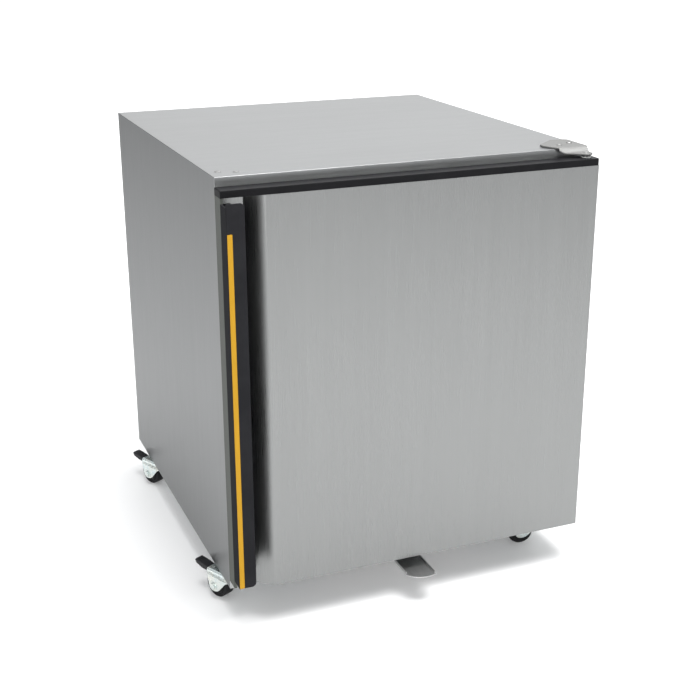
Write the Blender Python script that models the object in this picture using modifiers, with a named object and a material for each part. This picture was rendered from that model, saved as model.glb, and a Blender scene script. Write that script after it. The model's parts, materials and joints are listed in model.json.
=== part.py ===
"""Undercounter refrigerator cabinet on swivel casters, in metres, +Z up.

The origin is the floor point under the middle of the object. The door faces -Y and turns on a
vertical pin at its right edge. Every sub-part is one closed solid, and solids keep a gap of GAP.
"""

import math

import bmesh
import bpy
from mathutils import Matrix, Vector

# ---- Driving dimensions ----
WIDTH = 0.686
BODY_DEPTH = 0.7125
BODY_BOTTOM = 0.062
BODY_TOP = 0.802
DOOR_TO_BODY = 0.0403
DOOR_BOTTOM = 0.076
DOOR_TOP = 0.7766
CAP_TOP = 0.7887
DOOR_FACE = -0.3555
SHEET = 0.0012
GAP = 0.0003

# ---- Body ----
HALF = WIDTH / 2
FRONT = DOOR_FACE + DOOR_TO_BODY
BACK = FRONT + BODY_DEPTH
INNER_HALF = HALF - SHEET - GAP
FRONT_FLANGE = 0.022
BASE_SHEET = 0.0015
BASE_LIP_TOP = 0.0865
BREAKER_DEPTH = 0.008
CAVITY_HALF = 0.295
CAVITY_FLOOR = 0.112
CAVITY_TOP = 0.752
CAVITY_BACK = BACK - 0.055
STEP_TOP = 0.362
STEP_BACK = BACK - 0.285
LINER = 0.002
BAY_TOP = 0.312
BAY_FRONT = BACK - 0.235
PANEL = 0.001
GRILLE_TOP = 0.318
GRILLE_SLOTS = 14

# ---- Door ----
SKIN = 0.0009
GROOVE_DEPTH = 0.024
GROOVE_INNER = 0.043
GROOVE_OUTER = 0.067
DOOR_THICK = 0.030
DOOR_LINER = 0.0015
TRIM = 0.0015
CAP_OVERHANG = 0.0015
CAP_PROUD = 0.001
DOOR_CORE_BOTTOM = 0.084
PLUG_DEPTH = 0.018
GASKET_WIDTH = 0.014
GASKET_INSET = 0.014
PULL_STAND = 0.0312
PULL_WALL = 0.003
PULL_WIDTH = 0.027
PULL_BOTTOM = 0.100
PULL_TOP = 0.782
PULL_CORNER = 0.008
STRIPE_WIDTH = 0.0085
STRIPE_THICK = 0.0005
STRIPE_TOP = 0.726

# ---- Door hinge ----
PIVOT = Vector((HALF - 0.016, DOOR_FACE + 0.018, 0.0))
PIN_RADIUS = 0.004
BUSH_BORE = 0.0043
BUSH_RADIUS = 0.007
BUSH_FLANGE = 0.009
BUSH_LENGTH = 0.014
STRAP = 0.003

# ---- Inside ----
SHELF_LEVELS = {"upper": 0.500, "lower": 0.270}
SHELF_HALF = 0.281
SHELF_BAR = 0.004
SHELF_BARS = 17
RAIL = 0.0015
RAIL_DROP = 0.014
RAIL_LEDGE = 0.018
SHELF_FRONT = FRONT + 0.022

# ---- Machinery ----
COMPRESSOR = Vector((-0.165, BACK - 0.118, BODY_BOTTOM + BASE_SHEET + GAP))
CONDENSER_X = 0.175
CONDENSER_Z = 0.185
CONDENSER_FINS = 18
EVAPORATOR_FINS = 20
BLADES = 4

# ---- Casters ----
WHEEL_RADIUS = 0.025
WHEEL_HALF = 0.013
TRAIL = 0.040
AXLE_RADIUS = 0.004
PLATE = 0.0025
CASTER_PLATE_HALF = 0.025
FRONT_CASTER = DOOR_FACE + 0.095
REAR_CASTER = DOOR_FACE + 0.615
CASTER_X = HALF - 0.026
CASTERS = {
    "front_left": (-CASTER_X, FRONT_CASTER, 117.0),
    "rear_left": (-CASTER_X, REAR_CASTER, 117.0),
    "front_right": (CASTER_X, FRONT_CASTER, 168.0),
    "rear_right": (CASTER_X, REAR_CASTER, 63.0),
}

# ---- Condensate tray ----
TRAY_HALF = 0.170
TRAY_FRONT = FRONT + 0.010
TRAY_BACK = TRAY_FRONT + 0.300
TRAY_FLOOR = 0.0455
TRAY_RIM = 0.0570
TRAY_WALL = 0.0015
TAB_HALF = 0.0255
TAB_REACH = 0.040

SEGMENTS = 28


# ---- Materials ----
def material(name, colour, roughness, metallic=0.0):
    made = bpy.data.materials.new(name)
    made.use_nodes = True
    shader = made.node_tree.nodes["Principled BSDF"]
    shader.inputs["Base Color"].default_value = (*colour, 1.0)
    shader.inputs["Roughness"].default_value = roughness
    shader.inputs["Metallic"].default_value = metallic
    return made


def stainless(name):
    return material(name, (0.60, 0.60, 0.59), 0.34, 1.0)


def galvanised(name):
    return material(name, (0.55, 0.57, 0.58), 0.45, 1.0)


def zinc(name):
    return material(name, (0.72, 0.76, 0.76), 0.25, 1.0)


def black_plastic(name):
    return material(name, (0.018, 0.018, 0.020), 0.42)


def grey_plastic(name):
    return material(name, (0.085, 0.090, 0.088), 0.5)


def white_plastic(name):
    return material(name, (0.78, 0.79, 0.78), 0.4)


def black_rubber(name):
    return material(name, (0.015, 0.015, 0.016), 0.7)


def foam(name):
    return material(name, (0.80, 0.70, 0.45), 0.9)


def yellow(name):
    return material(name, (0.80, 0.42, 0.03), 0.45)


def aluminium(name):
    return material(name, (0.70, 0.71, 0.72), 0.4, 1.0)


def copper(name):
    return material(name, (0.72, 0.36, 0.20), 0.3, 1.0)


# ---- Modelling helpers ----
def start_scene():
    for item in list(bpy.data.objects):
        bpy.data.objects.remove(item, do_unlink=True)
    parts = bpy.data.collections.new("undercounter_refrigerator")
    cutters = bpy.data.collections.new("cutters")
    bpy.context.scene.collection.children.link(parts)
    bpy.context.scene.collection.children.link(cutters)
    return parts, cutters


PARTS, CUTTERS = start_scene()


def new_object(name, mesh, finish=None):
    item = bpy.data.objects.new(name, mesh)
    if finish:
        mesh.materials.append(finish(name))
        PARTS.objects.link(item)
    else:
        CUTTERS.objects.link(item)
        item.hide_render = True
        item.display_type = "WIRE"
    return item


def box(name, low, high, finish=None):
    low, high = Vector(low), Vector(high)
    shape = bmesh.new()
    bmesh.ops.create_cube(shape, size=1.0)
    bmesh.ops.scale(shape, vec=high - low, verts=shape.verts)
    mesh = bpy.data.meshes.new(name)
    shape.to_mesh(mesh)
    shape.free()
    item = new_object(name, mesh, finish)
    item.location = (low + high) / 2
    return item


def cylinder(name, base, radius, length, axis="Z", finish=None, segments=SEGMENTS):
    """A cylinder from the middle of its base along an axis."""
    turn = {"X": Matrix.Rotation(math.pi / 2, 4, "Y"), "Y": Matrix.Rotation(-math.pi / 2, 4, "X"),
            "Z": Matrix.Identity(4)}[axis]
    shape = bmesh.new()
    bmesh.ops.create_cone(shape, cap_ends=True, segments=segments, radius1=radius,
                          radius2=radius, depth=length,
                          matrix=turn @ Matrix.Translation((0, 0, length / 2)))
    mesh = bpy.data.meshes.new(name)
    shape.to_mesh(mesh)
    shape.free()
    mesh.shade_smooth()
    mesh.set_sharp_from_angle(angle=math.radians(40))
    item = new_object(name, mesh, finish)
    item.location = base
    return item


def plate(name, outlines, thickness, plane, level, finish=None):
    """Flat outlines, the first the edge and the rest holes, extruded from level along the normal.

    plane XY is extruded along Z, XZ along Y and YZ along X, each towards the positive side.
    """
    curve = bpy.data.curves.new(name, "CURVE")
    curve.dimensions = "2D"
    curve.fill_mode = "BOTH"
    curve.extrude = thickness / 2
    for outline in outlines:
        spline = curve.splines.new("POLY")
        spline.points.add(len(outline) - 1)
        for point, (u, v) in zip(spline.points, outline):
            point.co = (u, v, 0.0, 1.0)
        spline.use_cyclic_u = True
    turn = {"XY": Matrix.Identity(4),
            "XZ": Matrix(((1, 0, 0, 0), (0, 0, -1, 0), (0, 1, 0, 0), (0, 0, 0, 1))),
            "YZ": Matrix(((0, 0, 1, 0), (1, 0, 0, 0), (0, 1, 0, 0), (0, 0, 0, 1)))}[plane]
    middle = level + thickness / 2
    place = {"XY": (0, 0, middle), "XZ": (0, middle, 0), "YZ": (middle, 0, 0)}[plane]
    return curve_to_mesh(name, curve, Matrix.Translation(place) @ turn, finish)


def curve_to_mesh(name, curve, matrix, finish=None):
    """The curve's evaluated mesh, with its caps welded and its place in its vertices."""
    drawn = bpy.data.objects.new(name + "_outline", curve)
    bpy.context.scene.collection.objects.link(drawn)
    drawn.matrix_world = matrix
    bpy.context.view_layer.update()
    graph = bpy.context.evaluated_depsgraph_get()
    mesh = bpy.data.meshes.new_from_object(drawn.evaluated_get(graph))
    mesh.name = name
    mesh.materials.clear()
    mesh.transform(matrix)
    shape = bmesh.new()
    shape.from_mesh(mesh)
    bmesh.ops.remove_doubles(shape, verts=shape.verts, dist=0.00002)
    bmesh.ops.recalc_face_normals(shape, faces=shape.faces)
    shape.to_mesh(mesh)
    shape.free()
    bpy.data.objects.remove(drawn, do_unlink=True)
    item = new_object(name, mesh, finish)
    return item


def tube(name, points, radius, finish=None):
    curve = bpy.data.curves.new(name, "CURVE")
    curve.dimensions = "3D"
    curve.bevel_depth = radius
    curve.bevel_resolution = 2
    curve.use_fill_caps = True
    spline = curve.splines.new("POLY")
    spline.points.add(len(points) - 1)
    for point, co in zip(spline.points, points):
        point.co = (*co, 1.0)
    return curve_to_mesh(name, curve, Matrix.Identity(4), finish)


def turned(name, profile, base, finish=None, turn=None):
    """A profile of (radius, height) from top to bottom, turned about Z and closed on the axis."""
    mesh = bpy.data.meshes.new(name)
    edges = [(i, i + 1) for i in range(len(profile) - 1)]
    mesh.from_pydata([(r, 0.0, h) for r, h in profile], edges, [])
    item = new_object(name, mesh, finish)
    item.location = base
    if turn:
        item.rotation_euler = turn
    screw = item.modifiers.new("turned", "SCREW")
    screw.steps = SEGMENTS
    screw.render_steps = SEGMENTS
    screw.use_merge_vertices = True
    screw.merge_threshold = 0.00002
    screw.use_smooth_shade = True
    return item


def boolean(item, others, operation):
    for other in others:
        change = item.modifiers.new(operation.lower(), "BOOLEAN")
        change.operation = operation
        change.object = other
        change.solver = "EXACT"
    return item


def cut(item, *others):
    return boolean(item, others, "DIFFERENCE")


def join(item, *others):
    return boolean(item, others, "UNION")


def rectangle(u0, u1, v0, v1):
    return [(u0, v0), (u1, v0), (u1, v1), (u0, v1)]


def arc(centre, radius, start, end, count):
    """Points of an arc in degrees, both ends included."""
    angles = [math.radians(start + (end - start) * i / (count - 1)) for i in range(count)]
    return [(centre[0] + radius * math.cos(a), centre[1] + radius * math.sin(a)) for a in angles]


def moving_frame(name, place, turn=0.0):
    """An empty on a joint's axis."""
    empty = bpy.data.objects.new(name, None)
    PARTS.objects.link(empty)
    empty.location = place
    empty.rotation_euler = (0.0, 0.0, turn)
    bpy.context.view_layer.update()
    return empty


def attach(parent, *items):
    """Parents the items and keeps them where they are."""
    bpy.context.view_layer.update()
    for item in items:
        item.parent = parent
        item.matrix_parent_inverse = parent.matrix_world.inverted()


def hang(parent, *items):
    """Parents items that were modelled in the parent's own frame."""
    for item in items:
        item.parent = parent


# ---- Cabinet body ----
def outer_shell():
    shell = box("outer_shell", (-HALF, FRONT, BODY_BOTTOM), (HALF, BACK, BODY_TOP), stainless)
    hollow = box("shell_hollow", (-HALF + SHEET, FRONT + SHEET, 0.0),
                 (HALF - SHEET, BACK + 0.1, BODY_TOP - SHEET))
    mouth = box("shell_mouth", (-HALF + FRONT_FLANGE, FRONT - 0.1, 0.0),
                (HALF - FRONT_FLANGE, FRONT + 0.1, BODY_TOP - FRONT_FLANGE))
    return cut(shell, hollow, mouth)


def base_pan():
    """The floor sheet, turned up at the front under the door opening."""
    y0, y1 = FRONT + SHEET + GAP, BACK - GAP
    z0 = BODY_BOTTOM
    outline = [(y0, z0), (y1, z0), (y1, z0 + BASE_SHEET), (y0 + BASE_SHEET, z0 + BASE_SHEET),
               (y0 + BASE_SHEET, BASE_LIP_TOP), (y0, BASE_LIP_TOP)]
    return plate("base_pan", [outline], 2 * INNER_HALF, "YZ", -INNER_HALF, galvanised)


def back_panel():
    return box("back_panel", (-INNER_HALF, BACK - PANEL, GRILLE_TOP),
               (INNER_HALF, BACK, BODY_TOP - SHEET - GAP), galvanised)


def rear_grille():
    z0, z1 = BODY_BOTTOM + BASE_SHEET + GAP, GRILLE_TOP - GAP
    holes = []
    pitch = (z1 - z0 - 0.030) / GRILLE_SLOTS
    for side in (-1, 1):
        for i in range(GRILLE_SLOTS):
            if side < 0 and i < 4:
                continue
            low = z0 + 0.020 + i * pitch
            inner, outer = sorted((side * 0.020, side * 0.300))
            holes.append(rectangle(inner, outer, low, low + pitch * 0.5))
    holes.append(rectangle(-0.1245, -0.0955, 0.0805, 0.1045))
    outline = rectangle(-INNER_HALF, INNER_HALF, z0, z1)
    return plate("rear_grille", [outline] + holes, PANEL, "XZ", BACK - PANEL - GAP, galvanised)


def power_inlet():
    """A flush three-pin inlet socket, standing in its hole in the grille."""
    body = box("power_inlet", (-0.1240, BACK - 0.030, 0.0810), (-0.0960, BACK - GAP, 0.1040),
               black_plastic)
    socket = box("inlet_socket", (-0.1215, BACK - 0.018, 0.0835), (-0.0985, BACK + 0.01, 0.1015))
    return cut(body, socket)


def bay_divider():
    """Bent sheet that walls the machine bay off from the foam."""
    z0 = BODY_BOTTOM + BASE_SHEET + GAP
    y0, y1 = BAY_FRONT, BACK - PANEL - 3 * GAP
    outline = [(y0, z0), (y0 + PANEL, z0), (y0 + PANEL, BAY_TOP - PANEL), (y1, BAY_TOP - PANEL),
               (y1, BAY_TOP), (y0, BAY_TOP)]
    return plate("bay_divider", [outline], 2 * INNER_HALF, "YZ", -INNER_HALF, galvanised)


def stepped(name, grow, front, finish=None):
    """The storage space as a solid, grown by a wall, as an outline in YZ."""
    outline = [(front, CAVITY_FLOOR - grow), (STEP_BACK + grow, CAVITY_FLOOR - grow),
               (STEP_BACK + grow, STEP_TOP - grow), (CAVITY_BACK + grow, STEP_TOP - grow),
               (CAVITY_BACK + grow, CAVITY_TOP + grow), (front, CAVITY_TOP + grow)]
    half = CAVITY_HALF + grow
    return plate(name, [outline], 2 * half, "YZ", -half, finish)


def inner_liner():
    front = FRONT + BREAKER_DEPTH + GAP
    liner = stepped("inner_liner", LINER, front, aluminium)
    return cut(liner, stepped("liner_hollow", 0.0, front - 0.1))


def foam_body():
    front = FRONT + BREAKER_DEPTH + GAP
    z0 = BODY_BOTTOM + BASE_SHEET + GAP
    block = box("foam_body", (-INNER_HALF + GAP, front, z0),
                (INNER_HALF - GAP, BACK - PANEL - GAP, BODY_TOP - SHEET - 2 * GAP), foam)
    hollow = stepped("foam_hollow", LINER + GAP, front - 0.1)
    bay = box("foam_bay", (-HALF, BAY_FRONT - GAP, 0.0), (HALF, BACK + 0.1, BAY_TOP + GAP))
    return cut(block, hollow, bay)


def breaker_frame():
    """The moulded strip that frames the door opening."""
    edge = HALF - FRONT_FLANGE - GAP
    outer = rectangle(-edge, edge, BASE_LIP_TOP + GAP, BODY_TOP - FRONT_FLANGE - GAP)
    inner = rectangle(-CAVITY_HALF, CAVITY_HALF, CAVITY_FLOOR, CAVITY_TOP)
    return plate("breaker_frame", [outer, inner], BREAKER_DEPTH - GAP, "XZ", FRONT + GAP,
                 grey_plastic)


def hole_plugs():
    """Two plugs in the spare hinge holes of the top left corner."""
    for i, (x, y) in enumerate(((0.046, 0.071), (0.018, 0.082)), start=1):
        profile = [(0.0, 0.0016), (0.0035, 0.0014), (0.0055, 0.0006), (0.0055, 0.0), (0.0, 0.0)]
        turned(f"hinge_hole_plug_{i}", profile, (-HALF + x, DOOR_FACE + y, BODY_TOP + GAP), zinc)


# ---- Door hinge on the body ----
def top_hinge():
    x, y = PIVOT.x, PIVOT.y
    nose = arc((x, y), 0.011, 205, 340, 8)
    outline = [(HALF - 0.075, DOOR_FACE + 0.077), (HALF - 0.076, DOOR_FACE + 0.066),
               (HALF - 0.062, DOOR_FACE + 0.034), (HALF - 0.036, DOOR_FACE + 0.021)]
    outline += nose
    outline += [(HALF - 0.002, DOOR_FACE + 0.040), (HALF - 0.002, DOOR_FACE + 0.104),
                (HALF - 0.010, DOOR_FACE + 0.110), (HALF - 0.036, DOOR_FACE + 0.110)]
    plate("top_hinge_strap", [outline], STRAP, "XY", BODY_TOP + GAP, stainless)
    low = CAP_TOP - 0.013
    cylinder("top_hinge_pin", (x, y, low), PIN_RADIUS, BODY_TOP - low, finish=zinc)


def bottom_hinge():
    """An angle on the body's front with a nose under the door, and its standing pin."""
    x, y = PIVOT.x, PIVOT.y
    z1 = DOOR_CORE_BOTTOM - 0.003
    back = FRONT - GAP
    nose = [(x - 0.011, back)] + arc((x, y), 0.011, 180, 360, 12) + [(x + 0.011, back)]
    bracket = plate("bottom_hinge_bracket", [nose], STRAP, "XY", z1 - STRAP, stainless)
    flange = box("bottom_hinge_flange", (x - 0.030, back - 0.0024, BODY_BOTTOM + 0.0005),
                 (x + 0.011, back, z1))
    join(bracket, flange)
    cylinder("bottom_hinge_pin", (x, y, z1 + GAP), PIN_RADIUS, 0.013, finish=zinc)


# ---- Door ----
def door_skin():
    """Front sheet with the slanted finger groove at its left and a return at its right."""
    x0, y0 = -HALF, DOOR_FACE
    inner_shift = SKIN * (math.sqrt(2) - 1)
    depth = DOOR_THICK - 0.002
    outline = [(x0 + TRIM + GAP, y0 + GROOVE_DEPTH), (x0 + GROOVE_INNER, y0 + GROOVE_DEPTH),
               (x0 + GROOVE_OUTER, y0), (HALF, y0), (HALF, y0 + depth),
               (HALF - SKIN, y0 + depth), (HALF - SKIN, y0 + SKIN),
               (x0 + GROOVE_OUTER + inner_shift, y0 + SKIN),
               (x0 + GROOVE_INNER + inner_shift, y0 + GROOVE_DEPTH + SKIN),
               (x0 + TRIM + GAP, y0 + GROOVE_DEPTH + SKIN)]
    skin = plate("door_skin", [outline], DOOR_TOP - DOOR_BOTTOM, "XY", DOOR_BOTTOM, stainless)
    notch = box("skin_notch", (HALF - 0.002, y0 + 0.0012, 0.0),
                (HALF + 0.002, y0 + 0.04, DOOR_CORE_BOTTOM))
    return cut(skin, notch)


def bush_pocket(name, low, high):
    return cylinder(name, (PIVOT.x, PIVOT.y, low), BUSH_RADIUS + GAP, high - low)


def door_foam():
    x0, y0 = -HALF, DOOR_FACE
    back = y0 + DOOR_THICK - GAP
    skin = SKIN + GAP
    outline = [(x0 + TRIM + GAP, y0 + GROOVE_DEPTH + skin),
               (x0 + GROOVE_INNER + 0.0006, y0 + GROOVE_DEPTH + skin),
               (x0 + GROOVE_OUTER + 0.0006, y0 + skin), (HALF - skin, y0 + skin),
               (HALF - skin, back), (x0 + TRIM + GAP, back)]
    low = DOOR_CORE_BOTTOM + TRIM + GAP
    core = plate("door_foam", [outline], DOOR_TOP - low - 0.0006, "XY", low, foam)
    return cut(core, bush_pocket("foam_bush_low", 0.0, DOOR_CORE_BOTTOM + BUSH_LENGTH + 0.002),
               bush_pocket("foam_bush_high", CAP_TOP - BUSH_LENGTH - 0.002, 1.0))


def door_liner():
    """Inner panel with the raised middle that fills the door opening."""
    y0 = DOOR_FACE + DOOR_THICK
    panel = box("door_liner", (-HALF + 0.002, y0, DOOR_CORE_BOTTOM + GAP),
                (HALF - 0.002, y0 + DOOR_LINER, CAP_TOP - 0.0007), white_plastic)
    raised = box("door_liner_raised", (-0.262, y0 + 0.0005, 0.135),
                 (0.262, y0 + PLUG_DEPTH, 0.730))
    hollow = box("door_liner_hollow", (-0.245, y0 + 0.008, 0.152), (0.245, y0 + 0.1, 0.713))
    return cut(join(panel, raised), hollow)


def door_edge_trim():
    """Plastic edging: a top cap over the whole door, a left side and a bottom strip."""
    y0 = DOOR_FACE
    right = HALF + CAP_OVERHANG
    back = y0 + DOOR_THICK - 0.002
    corner = 0.006
    cap = [(-HALF, y0 - CAP_PROUD)]
    cap += arc((right - corner, y0 - CAP_PROUD + corner), corner, 270, 360, 6)
    cap += arc((right - corner, back - corner), corner, 0, 90, 6)
    cap += [(-HALF, back)]
    trim = plate("door_edge_trim", [cap], CAP_TOP - DOOR_TOP - GAP, "XY", DOOR_TOP + GAP,
                 black_plastic)
    side = box("trim_side", (-HALF, y0 + GAP, DOOR_BOTTOM), (-HALF + TRIM, back, CAP_TOP - 0.002))
    strip = box("trim_strip", (-HALF + 0.0004, y0 + SKIN + GAP, DOOR_CORE_BOTTOM),
                (HALF - SKIN - GAP, back, DOOR_CORE_BOTTOM + TRIM))
    groove_end = box("trim_groove_end", (-HALF + 0.0004, y0 - 0.01, 0.0),
                     (-HALF + GROOVE_OUTER + 0.002, y0 + GROOVE_DEPTH + SKIN + GAP, 0.3))
    cut(strip, groove_end)
    join(trim, side, strip)
    pockets = [bush_pocket("trim_bush_low", 0.0, 0.3), bush_pocket("trim_bush_high", 0.5, 1.0)]
    return cut(trim, *pockets)


def gasket():
    edge = HALF - GASKET_INSET
    low, high = DOOR_CORE_BOTTOM + 0.006, DOOR_TOP - 0.002
    w = GASKET_WIDTH
    outer = rectangle(-edge, edge, low, high)
    inner = rectangle(-edge + w, edge - w, low + w, high - w)
    start = DOOR_FACE + DOOR_THICK + DOOR_LINER + GAP
    return plate("door_gasket", [outer, inner], FRONT - 2 * GAP - start, "XZ", start,
                 black_rubber)


def door_pull():
    """Extruded pull: a lip in front of the finger groove on a wall screwed in the groove."""
    x0, y0 = -HALF, DOOR_FACE
    lip = y0 - PULL_STAND
    foot = y0 + GROOVE_DEPTH - GAP
    step = TRIM + GAP
    outline = [(x0, lip), (x0 + PULL_WALL, lip), (x0 + PULL_WALL, y0 - 0.001),
               (x0 + step + PULL_WALL, y0 - 0.001),
               (x0 + step + PULL_WALL, foot - PULL_WALL), (x0 + 0.024, foot - PULL_WALL),
               (x0 + 0.024, foot), (x0 + step, foot), (x0 + step, y0 - GAP), (x0, y0 - GAP)]
    pull = plate("door_pull", [outline], PULL_TOP - 0.006 - PULL_BOTTOM, "XY", PULL_BOTTOM,
                 black_plastic)
    r = PULL_CORNER
    right = x0 + PULL_WIDTH
    face = [(x0, PULL_BOTTOM)]
    face += arc((right - r, PULL_BOTTOM + r), r, 270, 360, 7)
    face += arc((right - r, PULL_TOP - r), r, 0, 90, 7)
    face += [(x0, PULL_TOP)]
    return join(pull, plate("pull_lip", [face], PULL_WALL, "XZ", lip))


def pull_stripe():
    lip = DOOR_FACE - PULL_STAND
    return box("pull_stripe", (-HALF + 0.0005, lip - GAP - STRIPE_THICK, PULL_BOTTOM + 0.001),
               (-HALF + 0.0005 + STRIPE_WIDTH, lip - GAP, STRIPE_TOP), yellow)


def bushing(name, low, flange_low):
    """A flanged bush that turns on a hinge pin."""
    bush = cylinder(name, (PIVOT.x, PIVOT.y, low), BUSH_RADIUS, BUSH_LENGTH, finish=white_plastic)
    flange = cylinder(name + "_flange", (PIVOT.x, PIVOT.y, flange_low), BUSH_FLANGE, 0.0016)
    bore = cylinder(name + "_bore", (PIVOT.x, PIVOT.y, low - 0.05), BUSH_BORE, 0.2)
    return cut(join(bush, flange), bore)


def door():
    parts = [door_skin(), door_foam(), door_liner(), door_edge_trim(), gasket(), door_pull(),
             pull_stripe(),
             bushing("lower_bushing", DOOR_CORE_BOTTOM - 0.0010, DOOR_CORE_BOTTOM - 0.0019),
             bushing("upper_bushing", CAP_TOP - BUSH_LENGTH + 0.0010, CAP_TOP + 0.0003)]
    attach(moving_frame("door_hinge_axis", (PIVOT.x, PIVOT.y, DOOR_BOTTOM)), *parts)


# ---- Shelves ----
def shelf_back(level):
    return (STEP_BACK if level < STEP_TOP else CAVITY_BACK) - 0.012


def shelf(name, level):
    """A flat rack: a rim and a row of bars from front to back."""
    back = shelf_back(level)
    outer = rectangle(-SHELF_HALF, SHELF_HALF, SHELF_FRONT, back)
    rim = 0.006
    pitch = (2 * SHELF_HALF - 2 * rim + SHELF_BAR) / (SHELF_BARS + 1)
    holes = []
    middle = (SHELF_FRONT + back) / 2
    for i in range(SHELF_BARS + 1):
        x = -SHELF_HALF + rim + i * pitch
        for y0, y1 in ((SHELF_FRONT + rim, middle - 0.003), (middle + 0.003, back - rim)):
            holes.append(rectangle(x, x + pitch - SHELF_BAR, y0, y1))
    return plate(name, [outer] + holes, 0.005, "XY", level, zinc)


def shelf_rails(name, level):
    """An angle on each side wall, with its ledge under the shelf."""
    back = shelf_back(level) - 0.010
    for side, word in ((-1, "left"), (1, "right")):
        wall = CAVITY_HALF - GAP
        top = level - GAP
        ledge = [(side * wall, top), (side * (wall - RAIL_LEDGE), top),
                 (side * (wall - RAIL_LEDGE), top - RAIL), (side * (wall - RAIL), top - RAIL),
                 (side * (wall - RAIL), top - RAIL_DROP), (side * wall, top - RAIL_DROP)]
        plate(f"{name}_rail_{word}", [ledge], back - SHELF_FRONT, "XZ", SHELF_FRONT, stainless)


def shelves():
    for word, level in SHELF_LEVELS.items():
        shelf(f"{word}_shelf", level)
        shelf_rails(f"{word}_shelf", level)


# ---- Cooling machinery ----
def compressor():
    """A domed steel can on a foot plate."""
    profile = [(0.0, 0.168), (0.022, 0.166), (0.042, 0.158), (0.056, 0.144), (0.062, 0.124),
               (0.062, 0.092), (0.066, 0.090), (0.066, 0.084), (0.062, 0.082), (0.062, 0.040),
               (0.056, 0.022), (0.044, 0.012), (0.030, 0.008), (0.0, 0.008)]
    can = turned("compressor", profile, COMPRESSOR, black_plastic)
    x, y, z = COMPRESSOR
    foot = box("compressor_foot", (x - 0.080, y - 0.060, z), (x + 0.080, y + 0.060, z + 0.010))
    join(can, foot)
    box("compressor_terminal_cover", (x + 0.0665, y - 0.024, z + 0.060),
        (x + 0.098, y + 0.024, z + 0.112), black_plastic)


def finned_block(name, x0, x1, y0, y1, z0, z1, fins, plane, finish):
    """A finned coil as one comb: a spine with fins that stand off it."""
    pitch = (x1 - x0) / fins
    spine = z0 + 0.25 * (z1 - z0)
    outline = [(x0, z0), (x0 + fins * pitch - 0.45 * pitch, z0)]
    for i in reversed(range(fins)):
        left = x0 + i * pitch
        right = left + 0.55 * pitch
        outline += [(right, z1), (left, z1)]
        if i:
            outline += [(left, spine), (left - 0.45 * pitch, spine)]
    return plate(name, [outline], y1 - y0, plane, y0, finish)


def fan_blade(name, place, radius, depth, joint_name):
    """A hub with flat blades set at an angle, turning about Y."""
    x, y, z = place
    hub = cylinder(name, (x, y, z), radius * 0.28, depth, axis="Y", finish=aluminium)
    for i in range(BLADES):
        blade = box(f"{name}_vane_{i}", (0.0, -0.0006, -radius * 0.24),
                    (radius * 0.99, 0.0006, radius * 0.24))
        pitch = Matrix.Rotation(math.radians(22), 4, "X")
        reach = Matrix.Translation((radius * 0.495, 0, 0))
        spin = Matrix.Rotation(math.tau * i / BLADES, 4, "Y")
        blade.matrix_world = Matrix.Translation((x, y + depth / 2, z)) @ spin @ reach @ pitch
        join(hub, blade)
    attach(moving_frame(joint_name, place), hub)


def condenser_set():
    y1 = BACK - 0.020
    x, z = CONDENSER_X, CONDENSER_Z
    finned_block("condenser_coil", x - 0.110, x + 0.110, y1 - 0.050, y1,
                 BODY_BOTTOM + BASE_SHEET + 0.004, z + 0.100, CONDENSER_FINS, "XZ", aluminium)
    blade_y = y1 - 0.078
    fan_blade("condenser_fan_blade", (x, blade_y, z), 0.080, 0.018, "condenser_fan_axis")
    motor = cylinder("condenser_fan_motor", (x, blade_y - 0.052, z), 0.036, 0.050, axis="Y",
                     finish=galvanised)
    foot = box("condenser_motor_foot", (x - 0.020, blade_y - 0.045, BODY_BOTTOM + BASE_SHEET + GAP),
               (x + 0.020, blade_y - 0.015, z))
    join(motor, foot)


def discharge_line():
    """The tube from the compressor to the condenser."""
    x, y, z = COMPRESSOR
    start, end = x + 0.064, CONDENSER_X - 0.112
    top = z + 0.135
    route = [(start, y + 0.030, top), (start + 0.030, y + 0.034, top + 0.006),
             (start + 0.070, y + 0.050, top + 0.010), (end - 0.030, y + 0.066, top + 0.004),
             (end, y + 0.070, top - 0.004)]
    tube("discharge_line", route, 0.004, copper)


def evaporator_set():
    y1 = CAVITY_BACK - GAP
    y0 = y1 - 0.110
    z0, z1 = 0.602, CAVITY_TOP - GAP
    fan_x, fan_z = 0.130, 0.677
    cover = box("evaporator_cover", (-0.270, y0, z0), (0.270, y1, z1), white_plastic)
    hollow = box("evaporator_hollow", (-0.268, y0 + 0.002, z0 + 0.002),
                 (0.268, y1 + 0.1, z1 - 0.002))
    fan_hole = cylinder("evaporator_fan_hole", (fan_x, y0 - 0.05, fan_z), 0.062, 0.1, axis="Y")
    slots = [box(f"evaporator_slot_{i}", (-0.240 + i * 0.040, y0 - 0.01, z0 + 0.030),
                 (-0.216 + i * 0.040, y0 + 0.01, z1 - 0.030)) for i in range(6)]
    cut(cover, hollow, fan_hole, *slots)
    finned_block("evaporator_coil", -0.255, 0.035, y0 + 0.030, y1 - 0.010, z0 + 0.012,
                 z1 - 0.012, EVAPORATOR_FINS, "XZ", aluminium)
    fan_blade("evaporator_fan_blade", (fan_x, y0 + 0.006, fan_z), 0.056, 0.012,
              "evaporator_fan_axis")
    cylinder("evaporator_fan_motor", (fan_x, y0 + 0.022, fan_z), 0.026, 0.060, axis="Y",
             finish=galvanised)


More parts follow.
